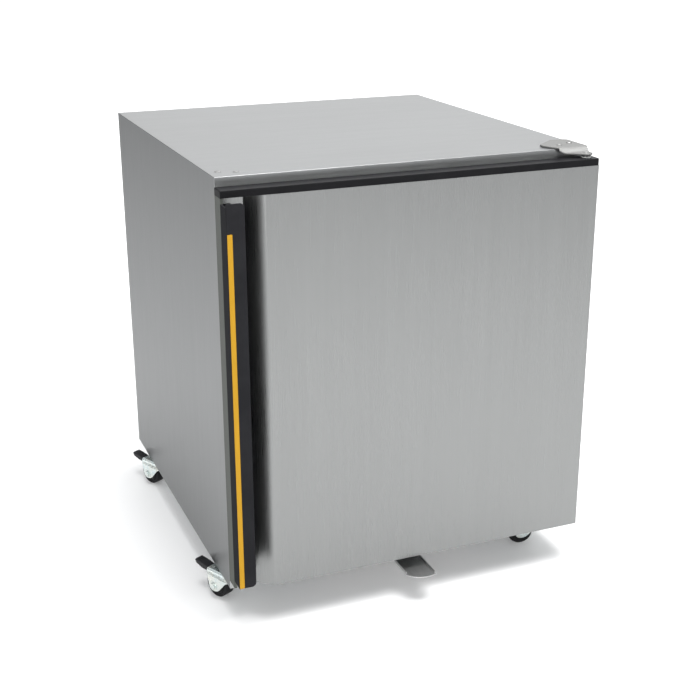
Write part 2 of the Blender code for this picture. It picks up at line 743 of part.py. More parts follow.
def thermostat():
    y, z = FRONT + 0.060, 0.695
    wall = CAVITY_HALF - GAP
    box("thermostat_body", (wall - 0.030, y - 0.032, z - 0.024), (wall, y + 0.032, z + 0.024),
        white_plastic)
    face = wall - 0.030 - GAP
    knob = cylinder("thermostat_knob", (face - 0.014, y, z), 0.016, 0.014, axis="X",
                    finish=black_plastic)
    pointer = box("thermostat_pointer", (face - 0.017, y - 0.0015, z - 0.002),
                  (face - 0.001, y + 0.0015, z + 0.0175))
    join(knob, pointer)
    attach(moving_frame("thermostat_axis", (face, y, z)), knob)


# ---- Condensate tray ----
def tray():
    """A shallow pan with a flanged tab that reaches out under the door."""
    pan = box("condensate_tray", (-TRAY_HALF, TRAY_FRONT, TRAY_FLOOR),
              (TRAY_HALF, TRAY_BACK, TRAY_RIM), stainless)
    hollow = box("tray_hollow", (-TRAY_HALF + TRAY_WALL, TRAY_FRONT + TRAY_WALL,
                                 TRAY_FLOOR + TRAY_WALL),
                 (TRAY_HALF - TRAY_WALL, TRAY_BACK - TRAY_WALL, 0.1))
    level = TRAY_FLOOR + 0.006
    front = DOOR_FACE - TAB_REACH
    outline = [(-TAB_HALF, TRAY_FRONT + 0.001), (-TAB_HALF, front + 0.022),
               (-0.019, front + 0.010), (-0.010, front + 0.003), (0.002, front), (0.012, front),
               (TAB_HALF, front + 0.003), (TAB_HALF, TRAY_FRONT + 0.001)]
    tab = plate("tray_tab", [outline], TRAY_WALL, "XY", level)
    left = box("tab_flange_left", (-TAB_HALF, front + 0.022, level),
               (-TAB_HALF + TRAY_WALL, TRAY_FRONT + 0.001, level + 0.0055))
    right = box("tab_flange_right", (TAB_HALF - TRAY_WALL, front + 0.006, level),
                (TAB_HALF, TRAY_FRONT + 0.001, level + 0.0055))
    join(tab, left, right)
    join(cut(pan, hollow), tab)
    attach(moving_frame("tray_slide", (0, TRAY_FRONT, TRAY_FLOOR)), pan)

    wall, gap = 0.0012, 0.0008
    side = TRAY_HALF + gap
    top, low = BODY_BOTTOM - GAP, TRAY_FLOOR - gap
    ledge = 0.012
    outer = side + wall
    outline = [(-side + ledge, low), (-side, low), (-side, top - wall), (side, top - wall),
               (side, low), (side - ledge, low), (side - ledge, low - wall), (outer, low - wall),
               (outer, top), (-outer, top), (-outer, low - wall), (-side + ledge, low - wall)]
    plate("tray_runner", [outline], 0.290, "XZ", TRAY_FRONT + 0.004, galvanised)


# ---- Casters ----
def caster(name, x, y, heading):
    """A swivel caster. Its fork, wheel and pedal are modelled with the wheel trailing along +X."""
    top = BODY_BOTTOM - GAP
    low = top - PLATE
    half = CASTER_PLATE_HALF
    box(f"{name}_plate", (x - half, y - half, low), (x + half, y + half, top), zinc)

    swivel = moving_frame(f"{name}_swivel", (x, y, 0.0), math.radians(heading))
    crown_top = low - GAP
    crown_low = crown_top - 0.004
    fork = cylinder(f"{name}_fork", (0, 0, crown_low + 0.0004), 0.020, 0.0036, finish=zinc)
    arm = box(f"{name}_arm", (-0.0065, -0.0193, crown_low), (0.0565, 0.0193, crown_low + 0.0025))
    leg_outline = [(-0.006, crown_low + 0.001), (0.056, crown_low + 0.001), (0.056, 0.044)]
    leg_outline += arc((TRAIL, WHEEL_RADIUS), 0.008, 20, -200, 9)
    leg_outline += [(0.010, 0.040), (-0.006, 0.047)]
    legs = []
    for side, word in ((-1, "near"), (1, "far")):
        start = side * 0.0178 - 0.0012
        legs.append(plate(f"{name}_leg_{word}", [leg_outline], 0.0024, "XZ", start))
    axle = cylinder(f"{name}_axle", (TRAIL, -0.0215, WHEEL_RADIUS), AXLE_RADIUS, 0.043, axis="Y",
                    segments=16)
    nuts = [cylinder(f"{name}_nut_{i}", (TRAIL, start, WHEEL_RADIUS), 0.0068, 0.0037, axis="Y",
                     segments=6) for i, start in enumerate((-0.0225, 0.0188))]
    join(fork, arm, *legs, axle, *nuts)

    wheel_profile = [(AXLE_RADIUS + GAP, WHEEL_HALF), (0.018, WHEEL_HALF), (0.020, 0.0115),
                     (0.0235, 0.0115), (WHEEL_RADIUS, 0.009), (WHEEL_RADIUS, -0.009),
                     (0.0235, -0.0115), (0.020, -0.0115), (0.018, -WHEEL_HALF),
                     (AXLE_RADIUS + GAP, -WHEEL_HALF), (AXLE_RADIUS + GAP, WHEEL_HALF)]
    wheel = turned(f"{name}_wheel", wheel_profile, (TRAIL, 0, WHEEL_RADIUS), black_rubber,
                   (math.pi / 2, 0, 0))

    pedal_outline = [(0.0565, 0.0485), (0.0575, 0.0440), (0.066, 0.0430), (0.080, 0.0440),
                     (0.098, 0.0500), (0.1005, 0.0545), (0.098, 0.0575), (0.085, 0.0560),
                     (0.066, 0.0510), (0.0580, 0.0510)]
    pedal = plate(f"{name}_pedal", [pedal_outline], 0.022, "XZ", -0.011, black_plastic)
    pedal_axis = moving_frame(f"{name}_pedal_axis", (0.060, 0, 0.0475))
    hang(swivel, fork, arm, *legs, axle, *nuts, wheel, pedal_axis)
    pedal.location = (-0.060, 0, -0.0475)
    hang(pedal_axis, pedal)


def casters():
    for word, (x, y, heading) in CASTERS.items():
        caster(f"{word}_caster", x, y, heading)


# ---- Assembly ----
def body():
    outer_shell()
    base_pan()
    back_panel()
    rear_grille()
    power_inlet()
    bay_divider()
    inner_liner()
    foam_body()
    breaker_frame()
    hole_plugs()
    top_hinge()
    bottom_hinge()


body()
door()
shelves()
compressor()
condenser_set()
discharge_line()
evaporator_set()
thermostat()
tray()
casters()
bpy.context.view_layer.update()
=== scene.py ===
"""Looks of the undercounter refrigerator: sheet metal, mouldings, casters, wire shelves and screws.

Metres, +Z up, door towards -Y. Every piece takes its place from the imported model.
"""

import json
import math

import bmesh
import bpy
from mathutils import Matrix, Vector


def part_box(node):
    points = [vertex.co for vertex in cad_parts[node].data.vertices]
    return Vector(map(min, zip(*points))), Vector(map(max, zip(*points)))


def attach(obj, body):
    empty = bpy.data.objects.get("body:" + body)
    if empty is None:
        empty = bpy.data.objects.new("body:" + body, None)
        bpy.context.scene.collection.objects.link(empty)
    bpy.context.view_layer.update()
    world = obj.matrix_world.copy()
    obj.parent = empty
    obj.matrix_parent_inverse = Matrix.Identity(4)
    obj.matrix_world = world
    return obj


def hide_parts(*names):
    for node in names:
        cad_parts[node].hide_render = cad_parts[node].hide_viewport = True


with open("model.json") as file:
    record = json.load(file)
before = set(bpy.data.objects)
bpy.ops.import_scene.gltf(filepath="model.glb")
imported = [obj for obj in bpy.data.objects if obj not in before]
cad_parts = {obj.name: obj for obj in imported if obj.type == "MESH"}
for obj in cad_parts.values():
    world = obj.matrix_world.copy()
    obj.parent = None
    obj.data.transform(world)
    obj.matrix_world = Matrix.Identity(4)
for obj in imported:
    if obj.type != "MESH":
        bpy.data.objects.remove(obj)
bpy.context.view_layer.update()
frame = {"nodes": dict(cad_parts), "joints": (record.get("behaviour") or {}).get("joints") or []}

X, Y, Z = 0, 1, 2
NEAR = 0.00005
UP = Vector((0, 0, 1))
FORWARD = Vector((0, -1, 0))
JOINTS = {joint["name"]: joint for joint in frame["joints"]}
CORNERS = ("front_left", "rear_left", "front_right", "rear_right")
hinge = JOINTS["door_hinge"]["pos_m"]
HINGE_AXIS = Vector((hinge[X], hinge[Y], 0.0))


# ---- Modelling helpers ----
def clear_selection():
    if bpy.context.mode != "OBJECT":
        bpy.ops.object.mode_set(mode="OBJECT")
    bpy.ops.object.select_all(action="DESELECT")


def make_active(piece):
    clear_selection()
    piece.select_set(True)
    bpy.context.view_layer.objects.active = piece
    return piece


def fresh(name):
    """Names the primitive that was just added and puts its place and size in its mesh."""
    piece = bpy.context.object
    piece.name = name
    bpy.ops.object.transform_apply(location=True, rotation=True, scale=True)
    return piece


def block(name, low, high):
    clear_selection()
    low, high = Vector(low), Vector(high)
    bpy.ops.mesh.primitive_cube_add(size=1.0, location=(low + high) / 2, scale=high - low)
    return fresh(name)


def rod(name, start, end, radius, sides=32):
    clear_selection()
    start, end = Vector(start), Vector(end)
    turn = (end - start).to_track_quat("Z", "X").to_euler()
    bpy.ops.mesh.primitive_cylinder_add(vertices=sides, radius=radius, depth=(end - start).length,
                                        location=(start + end) / 2, rotation=turn)
    return fresh(name)


def dot_of_mesh(name, point):
    """A single corner to draw from."""
    clear_selection()
    bpy.ops.mesh.primitive_plane_add(size=0.01, location=point)
    piece = fresh(name)
    bpy.ops.object.mode_set(mode="EDIT")
    bpy.ops.mesh.select_mode(type="VERT")
    bpy.ops.mesh.select_all(action="SELECT")
    bpy.ops.mesh.merge(type="CENTER")
    bpy.ops.mesh.select_all(action="SELECT")
    return piece


def draw_line(name, points):
    """A chain of edges through the points, left open in edit mode."""
    points = [Vector(point) for point in points]
    piece = dot_of_mesh(name, points[0])
    for last, point in zip(points, points[1:]):
        bpy.ops.mesh.extrude_vertices_move(TRANSFORM_OT_translate={"value": point - last})
    return piece


def pick(piece, kind, test):
    """Opens the piece for editing with the faces, edges or corners that pass the test selected."""
    make_active(piece)
    bpy.ops.object.mode_set(mode="EDIT")
    bpy.ops.mesh.select_mode(type=kind)
    bpy.ops.mesh.select_all(action="DESELECT")
    mesh = bmesh.from_edit_mesh(piece.data)
    for item in {"FACE": mesh.faces, "EDGE": mesh.edges, "VERT": mesh.verts}[kind]:
        if test(item):
            item.select_set(True)
    mesh.select_flush_mode()
    bmesh.update_edit_mesh(piece.data)
    return piece


def corners(item):
    return [item] if isinstance(item, bmesh.types.BMVert) else item.verts


def at(axis, value, near=NEAR):
    return lambda item: all(abs(corner.co[axis] - value) < near for corner in corners(item))


def facing(*direction):
    return lambda face: face.normal.dot(Vector(direction)) > 0.99


def runs(axis):
    """Edges that run along an axis."""
    others = [i for i in (X, Y, Z) if i != axis]
    return lambda edge: all(abs(edge.verts[0].co[i] - edge.verts[1].co[i]) < NEAR for i in others)


def both(*tests):
    return lambda item: all(test(item) for test in tests)


def move_picked(x=0.0, y=0.0, z=0.0):
    bpy.ops.transform.translate(value=(x, y, z))


def bevel_picked(width, segments=3, kind="EDGES"):
    bpy.ops.mesh.bevel(offset=width, offset_pct=0, segments=segments, affect=kind)


def finish_editing(outwards=True):
    if outwards:
        bpy.ops.mesh.select_all(action="SELECT")
        bpy.ops.mesh.remove_doubles(threshold=0.00001)
        bpy.ops.mesh.normals_make_consistent(inside=False)
    bpy.ops.object.mode_set(mode="OBJECT")


def modify(piece, kind, **settings):
    """Adds a modifier with these settings and applies it."""
    make_active(piece)
    change = piece.modifiers.new(kind.lower(), kind)
    for name, value in settings.items():
        setattr(change, name, value)
    bpy.ops.object.modifier_apply(modifier=change.name)
    return piece


def round_edges(piece, width, segments=2, angle=35.0):
    return modify(piece, "BEVEL", width=width, segments=segments, limit_method="ANGLE",
                  angle_limit=math.radians(angle), use_clamp_overlap=True)


def thicken(piece, wall, offset=-1.0):
    return modify(piece, "SOLIDIFY", thickness=wall, offset=offset, use_even_offset=True)


def outwards(piece):
    make_active(piece)
    bpy.ops.object.mode_set(mode="EDIT")
    finish_editing()
    return piece


def cut_with(piece, cutter):
    modify(piece, "BOOLEAN", object=cutter, operation="DIFFERENCE")
    bpy.data.objects.remove(cutter, do_unlink=True)
    return piece


def joined(name, *pieces):
    clear_selection()
    for piece in pieces:
        piece.select_set(True)
    bpy.context.view_layer.objects.active = pieces[0]
    if len(pieces) > 1:
        bpy.ops.object.join()
    pieces[0].name = name
    return pieces[0]


def copy_of(piece, name, place=Matrix.Identity(4)):
    twin = piece.copy()
    twin.data = piece.data.copy()
    twin.name = name
    twin.data.transform(place)
    bpy.context.scene.collection.objects.link(twin)
    return twin


def repeat(piece, name, places):
    """Copies of a piece at each place, as one object, with the pattern itself removed."""
    copies = [copy_of(piece, f"{name}_{i}", place) for i, place in enumerate(places)]
    bpy.data.objects.remove(piece, do_unlink=True)
    return joined(name, *copies)


def shift(x, y, z):
    return Matrix.Translation((x, y, z))


def plate_of(name, points, depth, rounds=None, radius=0.003, steps=5):
    """A flat outline, its chosen corners rounded, drawn out by depth."""
    piece = draw_line(name, points)
    bpy.ops.mesh.select_all(action="SELECT")
    bpy.ops.mesh.edge_face_add()
    if rounds:
        pick(piece, "VERT", rounds)
        bevel_picked(radius, steps, "VERTICES")
    bpy.ops.mesh.select_all(action="SELECT")
    bpy.ops.mesh.extrude_region_move(TRANSFORM_OT_translate={"value": Vector(depth)})
    finish_editing()
    return piece


def folded_sheet(name, points, length, wall, bend, offset=-1.0):
    """Sheet metal bent at each point between the ends, with round bends."""
    length = Vector(length)
    piece = draw_line(name, points)
    bpy.ops.mesh.select_all(action="SELECT")
    bpy.ops.mesh.extrude_edges_move(TRANSFORM_OT_translate={"value": length})
    run = length.normalized()
    pick(piece, "EDGE", lambda edge: len(edge.link_faces) == 2
         and abs((edge.verts[1].co - edge.verts[0].co).normalized().dot(run)) > 0.99
         and abs(edge.link_faces[0].normal.dot(edge.link_faces[1].normal)) < 0.93)
    bevel_picked(bend, 4)
    finish_editing(outwards=False)
    return outwards(thicken(piece, wall, offset))


def ring_frame(name, low, high, width):
    """A picture-frame ring standing upright, from one corner of its box to the other."""
    piece = block(name, low, high)
    for side in (FORWARD, -FORWARD):
        pick(piece, "FACE", facing(*side))
        bpy.ops.mesh.inset(thickness=width)
        finish_editing(outwards=False)
    inner_low, inner_high = Vector(low), Vector(high)
    middle = (inner_low + inner_high) / 2

    def in_window(face):
        centre = face.calc_center_median()
        return abs(face.normal.y) > 0.99 and abs(centre.x - middle.x) < NEAR * 10 \
            and abs(centre.z - middle.z) < NEAR * 10
    pick(piece, "FACE", in_window)
    bpy.ops.mesh.bridge_edge_loops()
    finish_editing()
    return piece


def turned(name, profile, centre, axis, steps=48):
    """Points of (radius, distance along the axis), spun round the axis."""
    centre, axis = Vector(centre), Vector(axis).normalized()
    side = axis.orthogonal().normalized()
    piece = draw_line(name, [centre + side * radius + axis * along for radius, along in profile])
    bpy.ops.mesh.select_all(action="SELECT")
    bpy.ops.mesh.spin(steps=steps, angle=math.tau, center=centre, axis=axis)
    finish_editing()
    return piece


def wire(name, points, radius, closed=False, bend=0.0, sides=4):
    """Round wire along the points, its corners bent round."""
    piece = draw_line(name, points)
    if closed:
        pick(piece, "VERT", lambda corner: len(corner.link_edges) == 1)
        bpy.ops.mesh.edge_face_add()
    if bend:
        pick(piece, "VERT", lambda corner: len(corner.link_edges) == 2)
        bevel_picked(bend, 5, "VERTICES")
    finish_editing(outwards=False)
    make_active(piece)
    bpy.ops.object.convert(target="CURVE")
    piece.data.bevel_depth = radius
    piece.data.bevel_resolution = sides
    piece.data.use_fill_caps = True
    bpy.ops.object.convert(target="MESH")
    return outwards(piece)


def refined(node, name, width, segments=2, angle=35.0):
    """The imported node's own shape as a clean mesh, with its edges rounded."""
    source = frame["nodes"][node]
    piece = bpy.data.objects.new(name, source.data.copy())
    bpy.context.scene.collection.objects.link(piece)
    make_active(piece)
    bpy.ops.object.mode_set(mode="EDIT")
    bpy.ops.mesh.select_all(action="SELECT")
    bpy.ops.mesh.remove_doubles(threshold=0.00001)
    bpy.ops.mesh.dissolve_limited(angle_limit=math.radians(0.5))
    bpy.ops.object.mode_set(mode="OBJECT")
    return round_edges(piece, width, segments, angle) if width else piece


def settle(piece, body, finish, replaces=(), angle=38.0):
    """Last step of every piece: smooth shading, its finish, its body and the nodes it stands for."""
    make_active(piece)
    bpy.ops.object.shade_smooth_by_angle(angle=math.radians(angle))
    modify(piece, "WEIGHTED_NORMAL", keep_sharp=True)
    piece.data.materials.clear()
    piece.data.materials.append(finish)
    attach(piece, body)
    if replaces:
        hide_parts(*replaces)
    return piece


# ---- Finishes ----
def new_finish(name, colour, roughness, metallic=0.0):
    """A plain Principled material, with its tree and shader for the pattern that follows."""
    made = bpy.data.materials.new(name)
    made.use_nodes = True
    shader = made.node_tree.nodes["Principled BSDF"]
    shader.inputs["Base Color"].default_value = (*colour, 1.0)
    shader.inputs["Roughness"].default_value = roughness
    shader.inputs["Metallic"].default_value = metallic
    return made, made.node_tree, shader


def space(tree, stretch):
    """Object coordinates in metres, stretched along each axis."""
    place = tree.nodes.new("ShaderNodeTexCoord")
    mapping = tree.nodes.new("ShaderNodeMapping")
    mapping.inputs["Scale"].default_value = stretch
    tree.links.new(place.outputs["Object"], mapping.inputs["Vector"])
    return mapping.outputs["Vector"]


def noise(tree, stretch, detail=2.0, rough=0.5):
    texture = tree.nodes.new("ShaderNodeTexNoise")
    texture.inputs["Scale"].default_value = 1.0
    texture.inputs["Detail"].default_value = detail
    texture.inputs["Roughness"].default_value = rough
    tree.links.new(space(tree, stretch), texture.inputs["Vector"])
    return texture.outputs["Fac"]


def cells(tree, scale):
    texture = tree.nodes.new("ShaderNodeTexVoronoi")
    texture.inputs["Scale"].default_value = scale
    tree.links.new(space(tree, (1, 1, 1)), texture.inputs["Vector"])
    return texture


def spread(tree, value, low, high, start=0.3, end=0.7):
    """Maps start..end of the value onto low..high, held at both ends."""
    ranged = tree.nodes.new("ShaderNodeMapRange")
    for name, number in (("From Min", start), ("From Max", end), ("To Min", low), ("To Max", high)):
        ranged.inputs[name].default_value = number
    tree.links.new(value, ranged.inputs["Value"])
    return ranged.outputs["Result"]


def total(tree, first, second, operation="ADD"):
    summed = tree.nodes.new("ShaderNodeMath")
    summed.operation = operation
    tree.links.new(first, summed.inputs[0])
    tree.links.new(second, summed.inputs[1])
    return summed.outputs["Value"]


def tint(tree, factor, first, second):
    mixed = tree.nodes.new("ShaderNodeMix")
    mixed.data_type = "RGBA"
    colours = [socket for socket in mixed.inputs if socket.type == "RGBA"]
    colours[0].default_value = (*first, 1.0)
    colours[1].default_value = (*second, 1.0)
    tree.links.new(factor, mixed.inputs["Factor"])
    return next(socket for socket in mixed.outputs if socket.type == "RGBA")


def raise_surface(tree, shader, height, depth, strength=1.0):
    bump = tree.nodes.new("ShaderNodeBump")
    bump.inputs["Strength"].default_value = strength
    bump.inputs["Distance"].default_value = depth
    tree.links.new(height, bump.inputs["Height"])
    tree.links.new(bump.outputs["Normal"], shader.inputs["Normal"])


def brushed_steel(name, colour, fine, broad, roughness=0.36, contrast=0.04, edge=1.0,
                  relief=0.35):
    """Satin stainless. fine and broad are the grain's stretch: small along it, large across."""
    made, tree, shader = new_finish(name, colour, roughness, 1.0)
    shader.inputs["Specular Tint"].default_value = (edge, edge, edge, 1.0)
    grain = noise(tree, fine, 3.0, 0.6)
    bands = noise(tree, broad, 2.0, 0.5)
    smudge = noise(tree, (3.1, 3.1, 3.1), 3.0, 0.55)
    dark = tuple((1 - contrast) * value for value in colour)
    light = tuple((1 + contrast) * value for value in colour)
    shade = total(tree, spread(tree, bands, 0.0, 0.45), spread(tree, smudge, 0.0, 0.55))
    tree.links.new(tint(tree, shade, dark, light), shader.inputs["Base Color"])
    polish = total(tree, spread(tree, grain, roughness - 0.05, roughness + 0.04),
                   spread(tree, smudge, -0.02, 0.03))
    tree.links.new(polish, shader.inputs["Roughness"])
    raise_surface(tree, shader, grain, 0.00002, relief)
    return made


def zinc_plate(name):
    """Bright zinc with the faint blue and straw tints of its passivation."""
    made, tree, shader = new_finish(name, (0.74, 0.78, 0.77), 0.24, 1.0)
    cloud = noise(tree, (60, 60, 60), 3.0, 0.6)
    tree.links.new(tint(tree, spread(tree, cloud, 0, 1), (0.66, 0.76, 0.78), (0.84, 0.84, 0.78)),
                   shader.inputs["Base Color"])
    tree.links.new(spread(tree, noise(tree, (300, 300, 300)), 0.17, 0.34),
                   shader.inputs["Roughness"])
    return made


def spangled_sheet(name):
    """Galvanised sheet with its flakes of crystal."""
    made, tree, shader = new_finish(name, (0.38, 0.40, 0.41), 0.42, 1.0)
    flakes = cells(tree, 90.0)
    split = tree.nodes.new("ShaderNodeSeparateColor")
    tree.links.new(flakes.outputs["Color"], split.inputs["Color"])
    flake = split.outputs["Red"]
    tree.links.new(tint(tree, flake, (0.30, 0.32, 0.34), (0.44, 0.46, 0.46)),
                   shader.inputs["Base Color"])
    tree.links.new(spread(tree, flake, 0.34, 0.52, 0, 1), shader.inputs["Roughness"])
    raise_surface(tree, shader, noise(tree, (400, 400, 400)), 0.00003, 0.3)
    return made


def plain_metal(name, colour, roughness, patina, scale=40.0):
    """Bare metal whose colour drifts towards a patina."""
    made, tree, shader = new_finish(name, colour, roughness, 1.0)
    cloud = noise(tree, (scale, scale, scale), 4.0, 0.6)
    tree.links.new(tint(tree, spread(tree, cloud, 0, 1, 0.4, 0.75), colour, patina),
                   shader.inputs["Base Color"])
    tree.links.new(spread(tree, cloud, roughness, roughness + 0.16), shader.inputs["Roughness"])
    return made


def moulded(name, colour, roughness, grain=900.0, depth=0.00004, wear=0.25, gloss=0.5):
    """Moulded plastic or rubber with a fine pebble grain and slight handling marks."""
    made, tree, shader = new_finish(name, colour, roughness)
    shader.inputs["Specular IOR Level"].default_value = gloss
    pebble = noise(tree, (grain, grain, grain), 1.0)
    marks = noise(tree, (14, 14, 14), 4.0, 0.65)
    light = tuple(min(1.0, value * (1 + wear) + 0.003) for value in colour)
    tree.links.new(tint(tree, spread(tree, marks, 0, 1, 0.35, 0.8), colour, light),
                   shader.inputs["Base Color"])
    tree.links.new(spread(tree, marks, roughness - 0.06, roughness + 0.08),
                   shader.inputs["Roughness"])
    raise_surface(tree, shader, pebble, depth, 0.5)
    return made


def insulation(name):
    """Poured foam with open cells."""
    made, tree, shader = new_finish(name, (0.80, 0.70, 0.45), 0.9)
    cell = cells(tree, 700.0).outputs["Distance"]
    cloud = noise(tree, (25, 25, 25), 3.0)
    tree.links.new(tint(tree, spread(tree, cloud, 0, 1), (0.74, 0.62, 0.36), (0.84, 0.75, 0.52)),
                   shader.inputs["Base Color"])
    raise_surface(tree, shader, cell, 0.0004, 0.6)
    return made


SHELL_STEEL = brushed_steel("wrapped_shell_steel", (0.345, 0.350, 0.352), (14, 1500, 14),
                            (2, 90, 2), edge=0.5)
# Painted shade: the door's steel takes a darker colour than the shell's steel, to hold down the
# bright floor its face reflects.
DOOR_STEEL_PAINTED_DARKER = brushed_steel("upright_door_steel_painted_darker", (0.238, 0.242, 0.240), (1500, 1500, 14),
                           (60, 60, 1.6), 0.30, 0.03, relief=0.08)
SMALL_STEEL = brushed_steel("hinge_steel", (0.36, 0.36, 0.355), (40, 900, 40), (9, 160, 9), 0.44,
                            edge=0.4)
STRAP_STEEL = brushed_steel("strap_steel", (0.27, 0.27, 0.265), (40, 900, 40), (9, 160, 9), 0.60,
                            edge=0.4)
LINER_METAL = brushed_steel("liner_metal", (0.66, 0.67, 0.67), (1100, 16, 1100), (60, 2, 60), 0.4)
TRAY_STEEL = brushed_steel("tray_steel", (0.50, 0.50, 0.50), (1500, 30, 30), (200, 8, 8), 0.42, 0.10)
ZINC = zinc_plate("bright_zinc")
GALVANISED = spangled_sheet("spangled_zinc_sheet")
ALUMINIUM = plain_metal("fin_aluminium", (0.72, 0.73, 0.74), 0.36, (0.58, 0.60, 0.62))
COPPER = plain_metal("copper_tube", (0.74, 0.38, 0.22), 0.24, (0.40, 0.20, 0.12))
BLACK = moulded("black_moulding", (0.014, 0.014, 0.016), 0.42, gloss=0.25)
PULL_BLACK = moulded("pull_moulding", (0.019, 0.019, 0.021), 0.50, gloss=0.004)
CAP_BLACK = moulded("cap_moulding", (0.009, 0.009, 0.010), 0.45, gloss=0.05)
EDGING_GREY = moulded("edging_grey", (0.085, 0.090, 0.082), 0.50, gloss=0.05)
GREY = moulded("frame_grey", (0.16, 0.165, 0.16), 0.5)
WHITE = moulded("white_moulding", (0.76, 0.77, 0.75), 0.38, wear=0.03)
RUBBER = moulded("tyre_rubber", (0.012, 0.012, 0.013), 0.66, 500.0, 0.00008, gloss=0.25)
SEAL = moulded("seal_vinyl", (0.045, 0.047, 0.046), 0.55)
YELLOW = moulded("yellow_inlay", (0.48, 0.26, 0.018), 0.45, wear=0.05, gloss=0.1)
CAN_PAINT = moulded("black_can_paint", (0.016, 0.016, 0.017), 0.34, 260.0, 0.00015)
FOAM = insulation("poured_foam")


# ---- Cabinet sheet metal ----
SHEET = 0.0012
FLANGE = 0.022
FOLD = 0.0006
SCREW_INSET = 0.012
PRESSING_INSET = 0.045
PRESSING_RISE = 0.0016
shell_low, shell_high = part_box("outer_shell")


def cabinet_shell():
    """Two sides and the top in one folded sheet, with a flange turned in round the front."""
    shell = block("cabinet_shell", shell_low, shell_high)
    pick(shell, "FACE", facing(0, 1, 0))
    bpy.ops.mesh.delete(type="FACE")
    pick(shell, "FACE", facing(0, 0, -1))
    bpy.ops.mesh.delete(type="FACE")
    pick(shell, "FACE", facing(0, -1, 0))
    bpy.ops.mesh.inset(thickness=FLANGE, use_boundary=True)
    bpy.ops.mesh.delete(type="FACE")
    low_strip = shell_low.z + FLANGE / 2

    def under_mouth(face):
        return abs(face.normal.y) > 0.9 and face.calc_center_median().z < low_strip
    pick(shell, "FACE", under_mouth)
    bpy.ops.mesh.delete(type="FACE")
    pick(shell, "VERT", both(at(Z, shell_low.z + FLANGE), at(Y, shell_low.y)))
    move_picked(z=-FLANGE)
    folds = [both(runs(Y), at(Z, shell_high.z)),
             both(at(Y, shell_low.y), lambda edge: len(edge.link_faces) == 2
                  and abs(edge.link_faces[0].normal.dot(edge.link_faces[1].normal)) < 0.5)]
    pick(shell, "EDGE", lambda edge: any(test(edge) for test in folds))
    bevel_picked(FOLD, 3)
    finish_editing(outwards=False)
    outwards(thicken(shell, SHEET))
    settle(shell, "cabinet", SHELL_STEEL, ["outer_shell"])


def machine_screw():
    """A hexagon washer head screw standing on z = 0, its shank left out."""
    washer = rod("screw_washer", (0, 0, -0.0002), (0, 0, 0.0009), 0.0056, 20)
    round_edges(washer, 0.0003, 1)
    head = rod("screw_head", (0, 0, 0.0006), (0, 0, 0.0034), 0.0040, 6)
    pick(head, "FACE", facing(0, 0, 1))
    bpy.ops.mesh.inset(thickness=0.0008)
    bpy.ops.mesh.inset(thickness=0.0003)
    move_picked(z=-0.0006)
    finish_editing()
    round_edges(head, 0.0003, 1, 50)
    return joined("screw", washer, head)


def cross_screw():
    """A domed cross-slot screw standing on z = 0."""
    head = rod("cross_head", (0, 0, -0.0002), (0, 0, 0.0016), 0.0048, 24)
    pick(head, "EDGE", at(Z, 0.0016))
    bevel_picked(0.0013, 4)
    finish_editing()
    slots = [block("slot", (-0.0024, -0.0004, 0.0006), (0.0024, 0.0004, 0.01)),
             block("slot", (-0.0004, -0.0024, 0.0006), (0.0004, 0.0024, 0.01))]
    for slot in slots:
        cut_with(head, slot)
    return head


def on_back(x, z):
    """A place on the back of the cabinet, with the screw's head towards +Y."""
    return shift(x, shell_high.y, z) @ Matrix.Rotation(-math.pi / 2, 4, "X")


def back_screws():
    edge = shell_high.x - SCREW_INSET
    back_low, back_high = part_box("back_panel")
    grille_low, grille_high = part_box("rear_grille")
    places = []
    for side in (-1, 1):
        for i in range(4):
            places.append(on_back(side * edge, back_low.z + 0.02
                                  + i * (back_high.z - back_low.z - 0.035) / 3))
        for i in range(2):
            places.append(on_back(side * edge, grille_low.z + 0.03
                                  + i * (grille_high.z - grille_low.z - 0.05)))
    for i in range(1, 4):
        x = -edge + i * edge / 2
        places.append(on_back(x, back_high.z - SCREW_INSET))
        places.append(on_back(x, back_low.z + SCREW_INSET))
    screws = repeat(machine_screw(), "back_panel_screws", places)
    settle(screws, "cabinet", ZINC)


def back_sheets():
    """The back with its raised panel, the slotted grille, the base pan and the power inlet."""
    low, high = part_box("back_panel")
    panel = block("pressed_back_panel", low, high)
    pick(panel, "FACE", facing(0, 1, 0))
    bpy.ops.mesh.inset(thickness=PRESSING_INSET)
    bpy.ops.mesh.inset(thickness=0.006)
    move_picked(y=PRESSING_RISE)
    finish_editing()
    round_edges(panel, 0.0004, 1)
    settle(panel, "cabinet", GALVANISED, ["back_panel"])
    grille = refined("rear_grille", "slotted_grille", 0.0002, 1)
    settle(grille, "cabinet", GALVANISED, ["rear_grille"])
    pan = refined("base_pan", "folded_base_pan", 0.0004, 2)
    settle(pan, "cabinet", GALVANISED, ["base_pan"])
    inlet = refined("power_inlet", "inlet_housing", 0.0006, 2)
    settle(inlet, "cabinet", BLACK, ["power_inlet"])
    socket_low, socket_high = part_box("power_inlet")
    centre = (socket_low + socket_high) / 2
    prongs = []
    for i, (across, up) in enumerate(((-0.006, -0.002), (0.006, -0.002), (0.0, 0.004))):
        prong = block(f"prong_{i}", (centre.x + across - 0.0010, socket_high.y - 0.0165,
                                     centre.z + up - 0.0020),
                      (centre.x + across + 0.0010, socket_high.y - 0.0035, centre.z + up + 0.0020))
        prongs.append(round_edges(prong, 0.0005, 2))
    settle(joined("inlet_prongs", *prongs), "cabinet", ZINC)


def hole_plugs():
    """Domed button plugs in the spare hinge holes."""
    for i in (1, 2):
        low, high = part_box(f"hinge_hole_plug_{i}")
        centre = (low + high) / 2
        profile = [(0.0, 0.0010), (0.0022, 0.0009), (0.0040, 0.0007), (0.0052, 0.0004),
                   (0.0056, 0.0), (0.0, 0.0)]
        plug = turned(f"button_plug_{i}", profile, (centre.x, centre.y, low.z - 0.0001), UP, 32)
        settle(plug, "cabinet", STRAP_STEEL, [f"hinge_hole_plug_{i}"])


